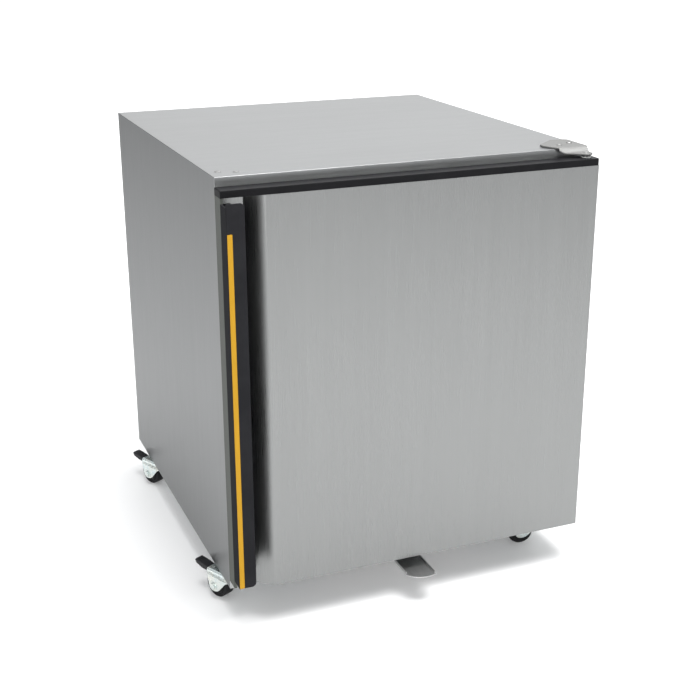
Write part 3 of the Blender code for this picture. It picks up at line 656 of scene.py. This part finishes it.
# ---- Hinges ----
NOSE_DROP = 0.0085
BEND_START = shell_low.y - 0.0025
BEND_END = shell_low.y - 0.0115


def top_hinge():
    """The stamped strap, its two screws, and the pin with its washer and riveted end."""
    low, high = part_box("top_hinge_strap")
    strap = refined("top_hinge_strap", "stamped_hinge_strap", 0.0)
    knee = (BEND_START + BEND_END) / 2
    for y in (BEND_START, knee, BEND_END):
        pick(strap, "FACE", lambda face: True)
        bpy.ops.mesh.bisect(plane_co=(0, y, 0), plane_no=(0, 1, 0))
        finish_editing()
    pick(strap, "VERT", lambda corner: corner.co.y < BEND_END + NEAR)
    move_picked(z=-NOSE_DROP)
    finish_editing()
    pick(strap, "VERT", at(Y, knee))
    move_picked(z=-NOSE_DROP / 2)
    finish_editing()
    round_edges(strap, 0.0007, 2, 50)
    settle(strap, "cabinet", STRAP_STEEL, ["top_hinge_strap"])
    seats = [(high.x + 0.002 - 0.046, low.y + 0.0525), (high.x + 0.002 - 0.018, low.y + 0.0655)]
    screws = repeat(cross_screw(), "strap_screws",
                    [shift(x, y, high.z) @ Matrix.Rotation(0.6 * i + 0.4, 4, "Z")
                     for i, (x, y) in enumerate(seats)])
    settle(screws, "cabinet", SMALL_STEEL)
    pin_low, pin_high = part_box("top_hinge_pin")
    axis = (pin_low + pin_high) / 2
    top, under = high.z - NOSE_DROP, low.z - NOSE_DROP
    profile = [(0.0, top + 0.0016), (0.0030, top + 0.0014), (0.0046, top + 0.0008),
               (0.0050, top - 0.0001), (0.0040, top - 0.0001), (0.0040, pin_low.z + 0.0008),
               (0.0032, pin_low.z), (0.0, pin_low.z)]
    pin = turned("riveted_top_pin", profile, (axis.x, axis.y, 0), UP, 32)
    settle(pin, "cabinet", SMALL_STEEL, ["top_hinge_pin"])
    washer = turned("hinge_washer", [(0.0043, 0.0), (0.0095, 0.0), (0.0095, -0.0012),
                                     (0.0043, -0.0012), (0.0043, 0.0)],
                    (axis.x, axis.y, under - 0.0002), UP, 40)
    settle(round_edges(washer, 0.0002, 1), "cabinet", BLACK)


def bottom_hinge():
    bracket = refined("bottom_hinge_bracket", "bottom_hinge_angle", 0.0006, 2)
    settle(bracket, "cabinet", SMALL_STEEL, ["bottom_hinge_bracket"])
    low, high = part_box("bottom_hinge_pin")
    axis = (low + high) / 2
    pin = turned("bottom_pin", [(0.0, high.z), (0.0030, high.z), (0.0040, high.z - 0.001),
                                (0.0040, low.z), (0.0, low.z)], (axis.x, axis.y, 0), UP, 32)
    settle(pin, "cabinet", ZINC, ["bottom_hinge_pin"])
    for word in ("lower", "upper"):
        bush = refined(f"{word}_bushing", f"{word}_hinge_bush", 0.0003, 2)
        settle(bush, "door", WHITE, [f"{word}_bushing"])


# ---- Door ----
skin_low, skin_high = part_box("door_skin")
pull_low, pull_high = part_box("door_pull")
trim_low, trim_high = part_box("door_edge_trim")
SKIN = 0.0009
GROOVE_DEPTH = 0.024
GROOVE_INNER = 0.0415
GROOVE_OUTER = 0.075
FOAM_SHOULDER = 0.066
OVERHANG = 0.0035
FINGER_NOTCH = 0.008
EDGING = 0.0015
HINGE_POCKET = 0.0094
TRIM_BACK = trim_high.y + 0.0018
DOOR_CORE_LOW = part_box("door_foam")[0].z - 0.0018


def groove_drop(share):
    """Slope summed along the way in: a short soft shoulder, then a slant that steepens."""
    shoulder, start, gain = 0.15, 0.62, 0.194
    if share < shoulder:
        return start * share ** 2 / (2 * shoulder)
    past = share - shoulder
    return start * shoulder / 2 + start * past + gain * past ** 2


def door_face():
    """Front sheet, rolled into the finger groove at its left, and the foam behind it."""
    left, face, low = pull_low.x, skin_low.y, skin_low.z
    steps = 20
    roll = [(left + GROOVE_INNER + (GROOVE_OUTER - GROOVE_INNER) * i / steps,
             face + GROOVE_DEPTH * groove_drop(1 - i / steps) / groove_drop(1), low)
            for i in range(steps + 1)]
    points = [(skin_low.x, face + GROOVE_DEPTH, low), *roll, (skin_high.x, face, low),
              (skin_high.x, TRIM_BACK, low)]
    sheet = folded_sheet("door_face", points, (0, 0, skin_high.z - low), SKIN, 0.0012)
    cut_with(sheet, block("bracket_relief", (skin_high.x - 0.002, face + 0.0012, low - 0.01),
                          (skin_high.x + 0.002, face + 0.04, DOOR_CORE_LOW)))
    settle(sheet, "door", DOOR_STEEL_PAINTED_DARKER, ["door_skin"])

    foam = refined("door_foam", "poured_door_foam", 0.0)
    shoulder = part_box("door_foam")[0].y
    pick(foam, "VERT", both(at(Y, shoulder), lambda corner: corner.co.x < left + GROOVE_OUTER))
    move_picked(x=GROOVE_OUTER - FOAM_SHOULDER)
    finish_editing()
    settle(foam, "door", FOAM, ["door_foam"])


def hinge_pocket(low, high):
    """Clearance for a hinge bushing, to be cut away."""
    return rod("pocket", (HINGE_AXIS.x, HINGE_AXIS.y, low), (HINGE_AXIS.x, HINGE_AXIS.y, high),
               HINGE_POCKET, 40)


def door_edging():
    """The moulded cap over the door, the edging of its left side and the strips under it."""
    low = skin_high.z + 0.0002
    cap = block("door_cap", (trim_low.x - OVERHANG, trim_low.y, low),
                (trim_high.x, TRIM_BACK, trim_high.z))
    pick(cap, "EDGE", both(runs(Z), at(X, trim_high.x)))
    bevel_picked(0.006, 8)
    pick(cap, "EDGE", both(at(Z, trim_high.z), lambda edge: any(
        corner.co.y < trim_high.y - NEAR for corner in edge.verts)))
    bevel_picked(0.0016, 4)
    finish_editing()
    cut_with(cap, hinge_pocket(low - 0.01, trim_high.z + 0.01))
    settle(cap, "door", CAP_BLACK, ["door_edge_trim"])

    side = block("door_side_edging",
                 (trim_low.x - OVERHANG, skin_low.y + 0.0003, trim_low.z + 0.009),
                 (trim_low.x + EDGING, TRIM_BACK, low))
    settle(round_edges(side, 0.0005, 2), "door", EDGING_GREY)
    groove_back, right = skin_low.y + GROOVE_DEPTH, skin_high.x - 0.0014
    strips = (("door_bottom_edging", (trim_low.x + EDGING, groove_back + 0.0015), TRIM_BACK),
              ("door_bottom_front_edging", (pull_low.x + GROOVE_OUTER + 0.003, skin_low.y + 0.0012),
               groove_back + 0.0012))
    for name, (strip_left, front), back in strips:
        strip = block(name, (strip_left, front, DOOR_CORE_LOW), (right, back, DOOR_CORE_LOW + EDGING))
        cut_with(strip, hinge_pocket(DOOR_CORE_LOW - 0.01, DOOR_CORE_LOW + 0.01))
        settle(round_edges(strip, 0.0003, 1), "door", EDGING_GREY)


def door_pull():
    """The extruded pull: a rounded lip in front of the groove, on a wall screwed down in it."""
    left, lip_front, low = pull_low.x - OVERHANG, pull_low.y, pull_low.z
    high = pull_high.z - FINGER_NOTCH
    face, wall = skin_low.y, 0.003
    right, foot = pull_high.x, face + GROOVE_DEPTH - 0.0003
    lip = plate_of("pull_face", [(left, lip_front, low), (right, lip_front, low),
                                 (right, lip_front, high), (left, lip_front, high)],
                   (0, wall, 0), at(X, right), 0.008, 8)
    round_edges(lip, 0.0010, 3, 60)
    web_front, web_back, web_low = lip_front + 0.001, face - 0.0004, low + 0.0002
    web = plate_of("pull_web", [(left, web_front, web_low), (left + wall, web_front, web_low),
                                (left + wall, web_back, web_low), (left, web_back, web_low)],
                   (0, 0, high - low - 0.0064))
    round_edges(web, 0.0005, 2, 60)
    inner, toe = left + OVERHANG + 0.0018, left + 0.024
    shoe_front, shoe_low = face - 0.0010, low + 0.0004
    shoe = plate_of("pull_shoe", [(inner, shoe_front, shoe_low), (inner + wall, shoe_front, shoe_low),
                                  (inner + wall, foot - wall, shoe_low),
                                  (toe, foot - wall, shoe_low), (toe, foot, shoe_low),
                                  (inner, foot, shoe_low)],
                    (0, 0, high - low - 0.0120))
    round_edges(shoe, 0.0006, 2, 60)
    pull = joined("door_pull_moulding", lip, web, shoe)
    settle(pull, "door", PULL_BLACK, ["door_pull"])
    count = 5
    screws = [shift(left + 0.015, foot - wall, low + 0.05 + i * (high - low - 0.1) / (count - 1))
              @ Matrix.Rotation(math.pi / 2, 4, "X") for i in range(count)]
    settle(repeat(cross_screw(), "pull_screws", screws), "door", ZINC)
    stripe_low, stripe_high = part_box("pull_stripe")
    aside = Vector((OVERHANG, 0, 0))
    stripe = block("pull_inlay", stripe_low - aside, stripe_high - aside)
    pick(stripe, "EDGE", both(runs(Y)))
    bevel_picked(0.0012, 3)
    finish_editing()
    settle(round_edges(stripe, 0.0002, 2), "door", YELLOW, ["pull_stripe"])


def door_inside():
    """The moulded inner panel and the seal held in its edge."""
    panel = refined("door_liner", "door_inner_panel", 0.0035, 4)
    settle(panel, "door", WHITE, ["door_liner"])
    low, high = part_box("door_gasket")
    depth = high.y - low.y
    head = ring_frame("seal_head", (low.x, high.y - 0.42 * depth, low.z), high, 0.014)
    neck = ring_frame("seal_bellows", (low.x + 0.003, low.y + 0.25 * depth, low.z + 0.003),
                      (high.x - 0.003, high.y - 0.38 * depth, high.z - 0.003), 0.008)
    base = ring_frame("seal_root", (low.x + 0.001, low.y, low.z + 0.001),
                      (high.x - 0.001, low.y + 0.3 * depth, high.z - 0.001), 0.012)
    for ring, width in ((head, 0.0010), (neck, 0.0006), (base, 0.0007)):
        round_edges(ring, width, 2)
    seal = joined("door_seal", head, neck, base)
    settle(seal, "door", SEAL, ["door_gasket"])


# ---- Interior ----
def storage_liner():
    """The stepped storage space as one pressed liner with coved corners."""
    low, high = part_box("inner_liner")
    bay_low, bay_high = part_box("bay_divider")
    wall, insulation_gap = 0.002, 0.05
    floor, roof, back = low.z + wall, high.z - wall, high.y - wall
    step_top, step_back = bay_high.z + insulation_gap, bay_low.y - insulation_gap
    half = high.x - wall
    outline = [(-half, low.y, floor), (-half, step_back, floor), (-half, step_back, step_top),
               (-half, back, step_top), (-half, back, roof), (-half, low.y, roof)]
    liner = plate_of("coved_liner", outline, (2 * half, 0, 0))
    pick(liner, "FACE", both(facing(0, -1, 0), at(Y, low.y)))
    bpy.ops.mesh.delete(type="FACE")
    pick(liner, "EDGE", lambda edge: len(edge.link_faces) == 2)
    bevel_picked(0.010, 4)
    bpy.ops.mesh.select_all(action="SELECT")
    bpy.ops.mesh.normals_make_consistent(inside=False)
    finish_editing(outwards=False)
    thicken(liner, wall, 1.0)
    settle(liner, "cabinet", LINER_METAL, ["inner_liner"])
    surround = refined("breaker_frame", "door_opening_frame", 0.0012, 3)
    settle(surround, "cabinet", GREY, ["breaker_frame"])


def wire_shelf(word):
    """A rack of round wires: a bent rim, stiffeners across and bars from front to back."""
    low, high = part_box(f"{word}_shelf")
    rim, bar, stiffener = 0.0025, 0.0014, 0.0019
    x0, x1, y0, y1 = low.x + rim, high.x - rim, low.y + rim, high.y - rim
    level = low.z + rim
    loop = wire("rack_rim", [(x0, y0, level), (x1, y0, level), (x1, y1, level), (x0, y1, level)],
                rim, closed=True, bend=0.012)
    pieces = [loop]
    for i in range(1, 4):
        y = y0 + i * (y1 - y0) / 4
        pieces.append(rod(f"stiffener_{i}", (x0, y, level - 0.0006), (x1, y, level - 0.0006),
                          stiffener, 12))
    count = 21
    bars = [shift(x0 + i * (x1 - x0) / count, 0, 0) for i in range(1, count)]
    pattern = rod("bar", (0, y0 - 0.001, level + 0.0011), (0, y1 + 0.001, level + 0.0011), bar, 10)
    pieces.append(repeat(pattern, f"{word}_bars", bars))
    rack = joined(f"{word}_wire_rack", *pieces)
    settle(rack, "cabinet", ZINC, [f"{word}_shelf"], 50.0)
    for side in ("left", "right"):
        rail = refined(f"{word}_shelf_rail_{side}", f"{word}_rack_rail_{side}", 0.0004, 2)
        settle(rail, "cabinet", SMALL_STEEL, [f"{word}_shelf_rail_{side}"])


def fan_guard(name, centre, radius, body):
    """Rings of wire with four spokes, in front of a fan."""
    rings = []
    count, gauge, diagonal = 5, 0.0012, 0.785
    for i in range(1, count + 1):
        reach = radius * i / count
        rings.append(turned(f"ring_{i}", [(reach + gauge * math.cos(a), gauge * math.sin(a))
                                          for a in (math.tau * k / 8 for k in range(9))],
                            centre, (0, 1, 0), 48))
    for i in range(4):
        turn = math.tau * i / 4 + diagonal
        way = Vector((math.cos(turn), 0, math.sin(turn)))
        foot = Vector(centre) + Vector((0, 0.0018, 0))
        rings.append(rod(f"spoke_{i}", foot + way * 0.006, foot + way * (radius + 0.003), gauge, 8))
    settle(joined(name, *rings), body, ZINC, (), 50.0)


def bladed_fan(node, body, blades=4):
    """A hub with curved vanes round the fan's own axis."""
    low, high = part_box(node)
    centre = (low + high) / 2
    radius = (high.z - low.z) / 2 * 0.985
    depth = high.y - low.y
    hub_radius = radius * 0.27
    hub = turned("hub", [(0.0, 0.5 * depth), (hub_radius * 0.8, 0.5 * depth),
                         (hub_radius, 0.35 * depth), (hub_radius, -0.5 * depth),
                         (0.0, -0.5 * depth)], centre, (0, 1, 0), 40)
    vanes = [hub]
    for i in range(blades):
        clear_selection()
        bpy.ops.mesh.primitive_grid_add(x_subdivisions=8, y_subdivisions=6, size=1.0)
        vane = fresh(f"vane_{i}")
        for corner in vane.data.vertices:
            along, across = corner.co.x + 0.5, corner.co.y
            reach = hub_radius * 0.9 + along * (radius - hub_radius * 0.9)
            turn = across * (0.95 - 0.15 * along) + 0.12 * along + math.tau * i / blades
            rise = -across * depth * (0.80 - 0.18 * along) + 0.06 * depth * (1 - 4 * across ** 2)
            corner.co = (centre.x + reach * math.cos(turn), centre.y + rise,
                         centre.z + reach * math.sin(turn))
        thicken(vane, 0.0010, 0.0)
        vanes.append(outwards(vane))
    fan = joined(node.replace("_blade", "_vanes"), *vanes)
    settle(fan, body, ALUMINIUM, [node])


def cooling_inside():
    """The evaporator's cover, fan and motor, and the thermostat's case."""
    cover = refined("evaporator_cover", "moulded_evaporator_cover", 0.0012, 2)
    settle(cover, "cabinet", WHITE, ["evaporator_cover"])
    low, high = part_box("evaporator_cover")
    screw_places = [shift(x, low.y, z) @ Matrix.Rotation(math.pi / 2, 4, "X")
                    for x in (low.x + 0.014, high.x - 0.014)
                    for z in (low.z + 0.014, high.z - 0.014)]
    settle(repeat(cross_screw(), "cover_screws", screw_places), "cabinet", ZINC)
    fan_low, fan_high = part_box("evaporator_fan_blade")
    middle = (fan_low + fan_high) / 2
    fan_guard("evaporator_fan_guard", (middle.x, low.y - 0.0015, middle.z), 0.060, "cabinet")
    bladed_fan("evaporator_fan_blade", "evaporator_fan")
    motor = refined("evaporator_fan_motor", "evaporator_motor_can", 0.0015, 3)
    settle(motor, "cabinet", GALVANISED, ["evaporator_fan_motor"])
    control = refined("thermostat_body", "thermostat_case", 0.0025, 4)
    settle(control, "cabinet", WHITE, ["thermostat_body"])


def thermostat_dial():
    """A ribbed knob with a raised pointer, and a ring of ticks on the case behind it."""
    joint = JOINTS["thermostat_turn"]
    centre = Vector(joint["pos_m"])
    axis = Vector(joint["axis"])
    low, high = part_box("thermostat_knob")
    depth = high.x - low.x
    knob = turned("knob", [(0.0, depth - 0.0034), (0.0115, depth - 0.0034), (0.0135, depth - 0.0045),
                           (0.0142, 0.004), (0.0160, 0.0022), (0.0160, 0.0004), (0.0, 0.0004)],
                  centre, axis, 48)
    pattern = rod("rib", (0, 0, 0), (-0.0085, 0, 0), 0.0008, 8)
    ribs = [Matrix.Translation(centre) @ Matrix.Rotation(math.tau * i / 24, 4, "X")
            @ shift(-0.0038, 0, 0.0139) for i in range(24)]
    grips = repeat(pattern, "ribs", ribs)
    pointer = block("pointer", centre + Vector((-depth, -0.0013, -0.002)),
                    centre + Vector((-0.001, 0.0013, 0.0172)))
    round_edges(pointer, 0.0005, 2)
    settle(joined("thermostat_dial_knob", knob, grips, pointer), "thermostat_knob", BLACK,
           ["thermostat_knob"])
    tick = block("tick", (-0.0003, -0.0005, 0.0185), (0.0003, 0.0005, 0.0215))
    places = [Matrix.Translation(centre + Vector((0.0003, 0, 0)))
              @ Matrix.Rotation(math.radians(-135 + 30 * i), 4, "X") for i in range(10)]
    settle(repeat(tick, "dial_ticks", places), "cabinet", BLACK)


# ---- Machine bay ----
def compressor_can():
    low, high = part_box("compressor")
    centre = (low + high) / 2
    radius, top, foot_sheet = 0.062, high.z - low.z, 0.0035
    profile = [(0.0, top), (0.020, top - 0.0012), (0.036, top - 0.006), (0.050, top - 0.016),
               (0.058, top - 0.030), (radius, top - 0.048), (radius, 0.092), (0.066, 0.090),
               (0.066, 0.084), (radius, 0.082), (radius, 0.042), (0.058, 0.026), (0.048, 0.014),
               (0.030, 0.010), (0.0, 0.010)]
    can = turned("can", profile, (centre.x, centre.y, low.z), UP, 64)
    foot = block("foot", low, (high.x, high.y, low.z + foot_sheet))
    pick(foot, "EDGE", runs(Z))
    bevel_picked(0.014, 5)
    finish_editing()
    round_edges(foot, 0.0008, 2)
    pads = []
    for side in (-1, 1):
        for end in (-1, 1):
            x, y = centre.x + side * 0.066, centre.y + end * 0.047
            pad = rod(f"pad_{side}_{end}", (x, y, low.z + 0.003), (x, y, low.z + 0.012), 0.008, 20)
            pads.append(round_edges(pad, 0.001, 2))
    settle(joined("compressor_can", can, foot, *pads), "cabinet", CAN_PAINT,
           ["compressor"])
    cover = refined("compressor_terminal_cover", "terminal_cover", 0.003, 4)
    settle(cover, "cabinet", BLACK, ["compressor_terminal_cover"])


def finned_coil(node, name, rows):
    """Thin fins on a bundle of tubes with round ends."""
    low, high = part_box(node)
    count = int((high.x - low.x) / 0.006)
    fin = block("fin", (0, low.y, low.z), (0.0004, high.y, high.z))
    places = [shift(low.x + 0.003 + i * (high.x - low.x - 0.0064) / (count - 1), 0, 0)
              for i in range(count)]
    fins = repeat(fin, name, places)
    settle(fins, "cabinet", ALUMINIUM, [node])
    tubes = []
    pitch = (high.z - low.z) / rows
    for i in range(rows):
        z = low.z + (i + 0.5) * pitch
        for y in (low.y + 0.28 * (high.y - low.y), low.y + 0.72 * (high.y - low.y)):
            tubes.append(rod("tube", (low.x + 0.0005, y, z), (high.x - 0.0005, y, z), 0.0045, 14))
    settle(joined(f"{name}_tubes", *tubes), "cabinet", COPPER)


def machine_bay():
    compressor_can()
    finned_coil("condenser_coil", "condenser_fins", 9)
    finned_coil("evaporator_coil", "evaporator_fins", 4)
    bladed_fan("condenser_fan_blade", "condenser_fan")
    motor = refined("condenser_fan_motor", "condenser_motor_can", 0.0020, 3)
    settle(motor, "cabinet", GALVANISED, ["condenser_fan_motor"])


# ---- Condensate tray ----
def condensate_tray():
    tray = refined("condensate_tray", "folded_condensate_tray", 0.0004, 2)
    settle(tray, "tray", TRAY_STEEL, ["condensate_tray"])
    runner = refined("tray_runner", "folded_tray_runner", 0.0003, 1)
    settle(runner, "cabinet", GALVANISED, ["tray_runner"])


# ---- Casters ----
WHEEL_RADIUS = 0.025
WHEEL_HALF = 0.0115
TRAIL = 0.040
FORK_SHEET = 0.0024
BOLT_INSET = 0.0058
PEDAL_HALF = 0.0092


def caster_plate_pattern(low, high):
    """The mounting plate with round corners and its four bolts."""
    half = (high.x - low.x) / 2
    plate = block("plate", (-half, -half, low.z), (half, half, high.z))
    pick(plate, "EDGE", runs(Z))
    bevel_picked(0.004, 5)
    finish_editing()
    round_edges(plate, 0.0004, 1)
    bolts = []
    for x in (-1, 1):
        for y in (-1, 1):
            place = shift(x * (half - BOLT_INSET), y * (half - BOLT_INSET), low.z + 0.0002)
            bolts.append(place @ Matrix.Rotation(math.pi, 4, "X"))
    heads = repeat(machine_screw(), "heads", bolts)
    return joined("caster_plate", plate, heads)


def caster_fork_pattern(top):
    """The pressed fork with its bearing crown, axle bolt and nut, trailing along +X."""
    crown = turned("crown", [(0.0, top), (0.0185, top), (0.0205, top - 0.0012),
                             (0.0205, top - 0.0030), (0.0190, top - 0.0046), (0.0, top - 0.0046)],
                   (0, 0, 0), UP, 48)
    arm_top, nose, half = top - 0.0012, -0.0060, 0.0190
    outline = [(nose, -half, arm_top - 0.020), (nose, -half, arm_top),
               (nose, half, arm_top), (nose, half, arm_top - 0.020)]
    bridge = folded_sheet("bridge", outline, (0.0625, 0, 0), FORK_SHEET, 0.0040)
    scallop = [(-0.02, 0.0), (-0.02, 0.0495), (0.005, 0.043), (0.020, 0.043), (0.056, 0.045),
               (0.07, 0.045), (0.07, 0.0)]
    trimmer = plate_of("trimmer", [(x, -0.03, z) for x, z in scallop], (0, 0.06, 0))
    cut_with(bridge, trimmer)
    legs = []
    for side in (-1, 1):
        start = side * 0.0178 - 0.0012
        points = [(nose, start, arm_top - 0.006), (0.0560, start, arm_top - 0.006),
                  (0.0560, start, 0.0440), (TRAIL + 0.0100, start, 0.0150),
                  (TRAIL - 0.0100, start, 0.0150), (0.0080, start, 0.0400), (nose, start, 0.0470)]
        leg = plate_of(f"leg_{side}", points, (0, FORK_SHEET, 0), at(Z, 0.0150), 0.0078, 6)
        legs.append(round_edges(leg, 0.0005, 2))
    hub = [rod("axle", (TRAIL, -0.0215, WHEEL_RADIUS), (TRAIL, 0.0215, WHEEL_RADIUS), 0.0040, 20)]
    for side in (-1, 1):
        washer = rod("washer", (TRAIL, side * 0.0188, WHEEL_RADIUS),
                     (TRAIL, side * 0.0200, WHEEL_RADIUS), 0.0082, 28)
        nut = rod("nut", (TRAIL, side * 0.0199, WHEEL_RADIUS), (TRAIL, side * 0.0226, WHEEL_RADIUS),
                  0.0064, 6)
        hub += [round_edges(washer, 0.0003, 1), round_edges(nut, 0.0004, 2)]
    round_edges(bridge, 0.0004, 1, 50)
    return joined("caster_fork", crown, bridge, *legs, *hub)


def caster_wheel_pattern():
    """A tyre with round shoulders on a ribbed hub, in the caster's own frame."""
    wheel = rod("wheel", (TRAIL, -WHEEL_HALF, WHEEL_RADIUS), (TRAIL, WHEEL_HALF, WHEEL_RADIUS),
                WHEEL_RADIUS, 64)
    steps_inward = ((0.0022, -0.0014), (0.0020, 0.0016), (0.0060, 0.0012))
    for side in (-1, 1):
        pick(wheel, "EDGE", at(Y, side * WHEEL_HALF))
        bevel_picked(0.0026, 4)
        finish_editing()
        pick(wheel, "FACE", both(facing(0, side, 0), at(Y, side * WHEEL_HALF)))
        for land, rise in steps_inward:
            bpy.ops.mesh.inset(thickness=land)
            bpy.ops.mesh.inset(thickness=0.0006)
            move_picked(y=side * rise)
        finish_editing()
    return wheel


def caster_pedal_pattern():
    """A moulded brake tread, round at its end, with grip ribs."""
    side_view = [(0.0568, 0.0490), (0.0575, 0.0442), (0.0660, 0.0432), (0.0800, 0.0442),
                 (0.0975, 0.0500), (0.1000, 0.0545), (0.0975, 0.0574), (0.0850, 0.0560),
                 (0.0660, 0.0511), (0.0585, 0.0510)]
    tread = plate_of("tread", [(x, -PEDAL_HALF, z) for x, z in side_view], (0, 2 * PEDAL_HALF, 0))
    pick(tread, "EDGE", lambda edge: abs(edge.verts[0].co.y - edge.verts[1].co.y) < NEAR
         and edge.verts[0].co.x > 0.09)
    bevel_picked(0.0024, 4)
    finish_editing()
    round_edges(tread, 0.0016, 3)
    ribs = []
    for i in range(3):
        x = 0.0860 + i * 0.0042
        top = 0.0563 + i * 0.0004
        rib = block("rib", (x - 0.0007, -0.0062, top - 0.002), (x + 0.0007, 0.0062, top + 0.0006))
        ribs.append(round_edges(rib, 0.0004, 2))
    return joined("caster_pedal", tread, *ribs)


def casters():
    """One plate, fork, wheel and pedal, copied to each corner at the heading it has there."""
    plate_low, plate_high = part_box("front_left_caster_plate")
    patterns = {"plate": caster_plate_pattern(plate_low, plate_high),
                "fork": caster_fork_pattern(plate_low.z - 0.0003),
                "wheel": caster_wheel_pattern(),
                "pedal": caster_pedal_pattern()}
    looks = {"plate": (ZINC, "zinc"), "fork": (ZINC, "zinc"), "wheel": (RUBBER, "black_rubber"),
             "pedal": (BLACK, "black_plastic")}
    for corner in CORNERS:
        swivel = Vector(JOINTS[f"{corner}_swivel"]["pos_m"])
        wheel_at = Vector(JOINTS[f"{corner}_roll"]["pos_m"])
        heading = math.atan2(wheel_at.y - swivel.y, wheel_at.x - swivel.x)
        place = shift(swivel.x, swivel.y, 0)
        turned_place = place @ Matrix.Rotation(heading, 4, "Z")
        bodies = {"plate": "cabinet", "fork": f"{corner}_caster", "wheel": f"{corner}_wheel",
                  "pedal": f"{corner}_pedal"}
        for word, pattern in patterns.items():
            piece = copy_of(pattern, f"{corner}_{word}", place if word == "plate" else turned_place)
            finish, slot = looks[word]
            settle(piece, bodies[word], finish, [f"{corner}_caster_{word}"])
    for pattern in patterns.values():
        bpy.data.objects.remove(pattern, do_unlink=True)


def carried_over():
    """Nodes whose shape is right as it is get a finish of their own."""
    for node, finish in (("foam_body", FOAM), ("bay_divider", GALVANISED),
                         ("discharge_line", COPPER)):
        carried = frame["nodes"][node]
        carried.data.materials.clear()
        carried.data.materials.append(finish)


# ---- Stage ----
FLOOR_SIZE = 60.0
# Softboxes: name, place, what it aims at, side of its square and power in watts.
SOFTBOXES = (("overhead_softbox", (0.3, -0.6, 3.6), (0.0, -0.3, 0.0), 2.4, 195.0),
             ("back_softbox", (2.6, 6.1, 3.2), (0.0, 0.0, 0.8), 5.0, 135.0),
             ("front_softbox", (-2.3, -3.2, 1.2), (-0.3, -0.4, 0.5), 1.8, 32.0))


def studio():
    """A pale floor that glows a little, less near the cabinet and to its left, and soft lights."""
    clear_selection()
    bpy.ops.mesh.primitive_plane_add(size=FLOOR_SIZE)
    floor = bpy.context.object
    floor.name = "studio_floor"
    pale, tree, shader = new_finish("pale_floor", (0.80, 0.80, 0.80), 0.9)
    shader.inputs["Specular IOR Level"].default_value = 0.0
    shader.inputs["Emission Color"].default_value = (1.0, 1.0, 1.0, 1.0)
    place = tree.nodes.new("ShaderNodeTexCoord")
    across = tree.nodes.new("ShaderNodeSeparateXYZ")
    tree.links.new(place.outputs["Object"], across.inputs["Vector"])
    reach = tree.nodes.new("ShaderNodeVectorMath")
    reach.operation = "LENGTH"
    tree.links.new(place.outputs["Object"], reach.inputs[0])
    far = spread(tree, reach.outputs["Value"], 0.17, 0.55, 0.7, 3.0)
    side = spread(tree, across.outputs["X"], 0.1, 1.0, -1.6, -0.3)
    tree.links.new(total(tree, far, side, "MULTIPLY"), shader.inputs["Emission Strength"])
    floor.data.materials.append(pale)

    world = bpy.data.worlds.new("studio")
    bpy.context.scene.world = world
    world.use_nodes = True
    tree = world.node_tree
    back = tree.nodes["Background"]
    place = tree.nodes.new("ShaderNodeTexCoord")
    split = tree.nodes.new("ShaderNodeSeparateXYZ")
    tree.links.new(place.outputs["Generated"], split.inputs["Vector"])
    height = spread(tree, split.outputs["Z"], 0.30, 0.85, 0.0, 0.8)
    tree.links.new(height, back.inputs["Strength"])
    back.inputs["Color"].default_value = (0.97, 0.985, 1.0, 1.0)

    for name, place, aim, size, power in SOFTBOXES:
        light = bpy.data.lights.new(name, "AREA")
        light.energy = power
        light.size = size
        lamp = bpy.data.objects.new(name, light)
        lamp.location = place
        lamp.rotation_euler = (Vector(aim) - Vector(place)).to_track_quat("-Z", "Y").to_euler()
        bpy.context.scene.collection.objects.link(lamp)


def camera():
    """Eye height, left of the door, looking down on it."""
    pitch, roll, heading = 90 - 19.70, 0.13, -22.11
    lens = bpy.data.cameras.new("camera")
    lens.lens = 63.5
    lens.sensor_width = 36.0
    eye = bpy.data.objects.new("camera", lens)
    eye.location = (-0.868, -2.180, 1.202)
    eye.rotation_euler = (math.radians(pitch), math.radians(roll), math.radians(heading))
    bpy.context.scene.collection.objects.link(eye)
    bpy.context.scene.camera = eye


clear_selection()
cabinet_shell()
back_sheets()
back_screws()
hole_plugs()
top_hinge()
bottom_hinge()
door_face()
door_edging()
door_pull()
door_inside()
storage_liner()
wire_shelf("upper")
wire_shelf("lower")
cooling_inside()
thermostat_dial()
machine_bay()
condensate_tray()
casters()
carried_over()
studio()
camera()
bpy.context.scene.view_settings.view_transform = "Standard"
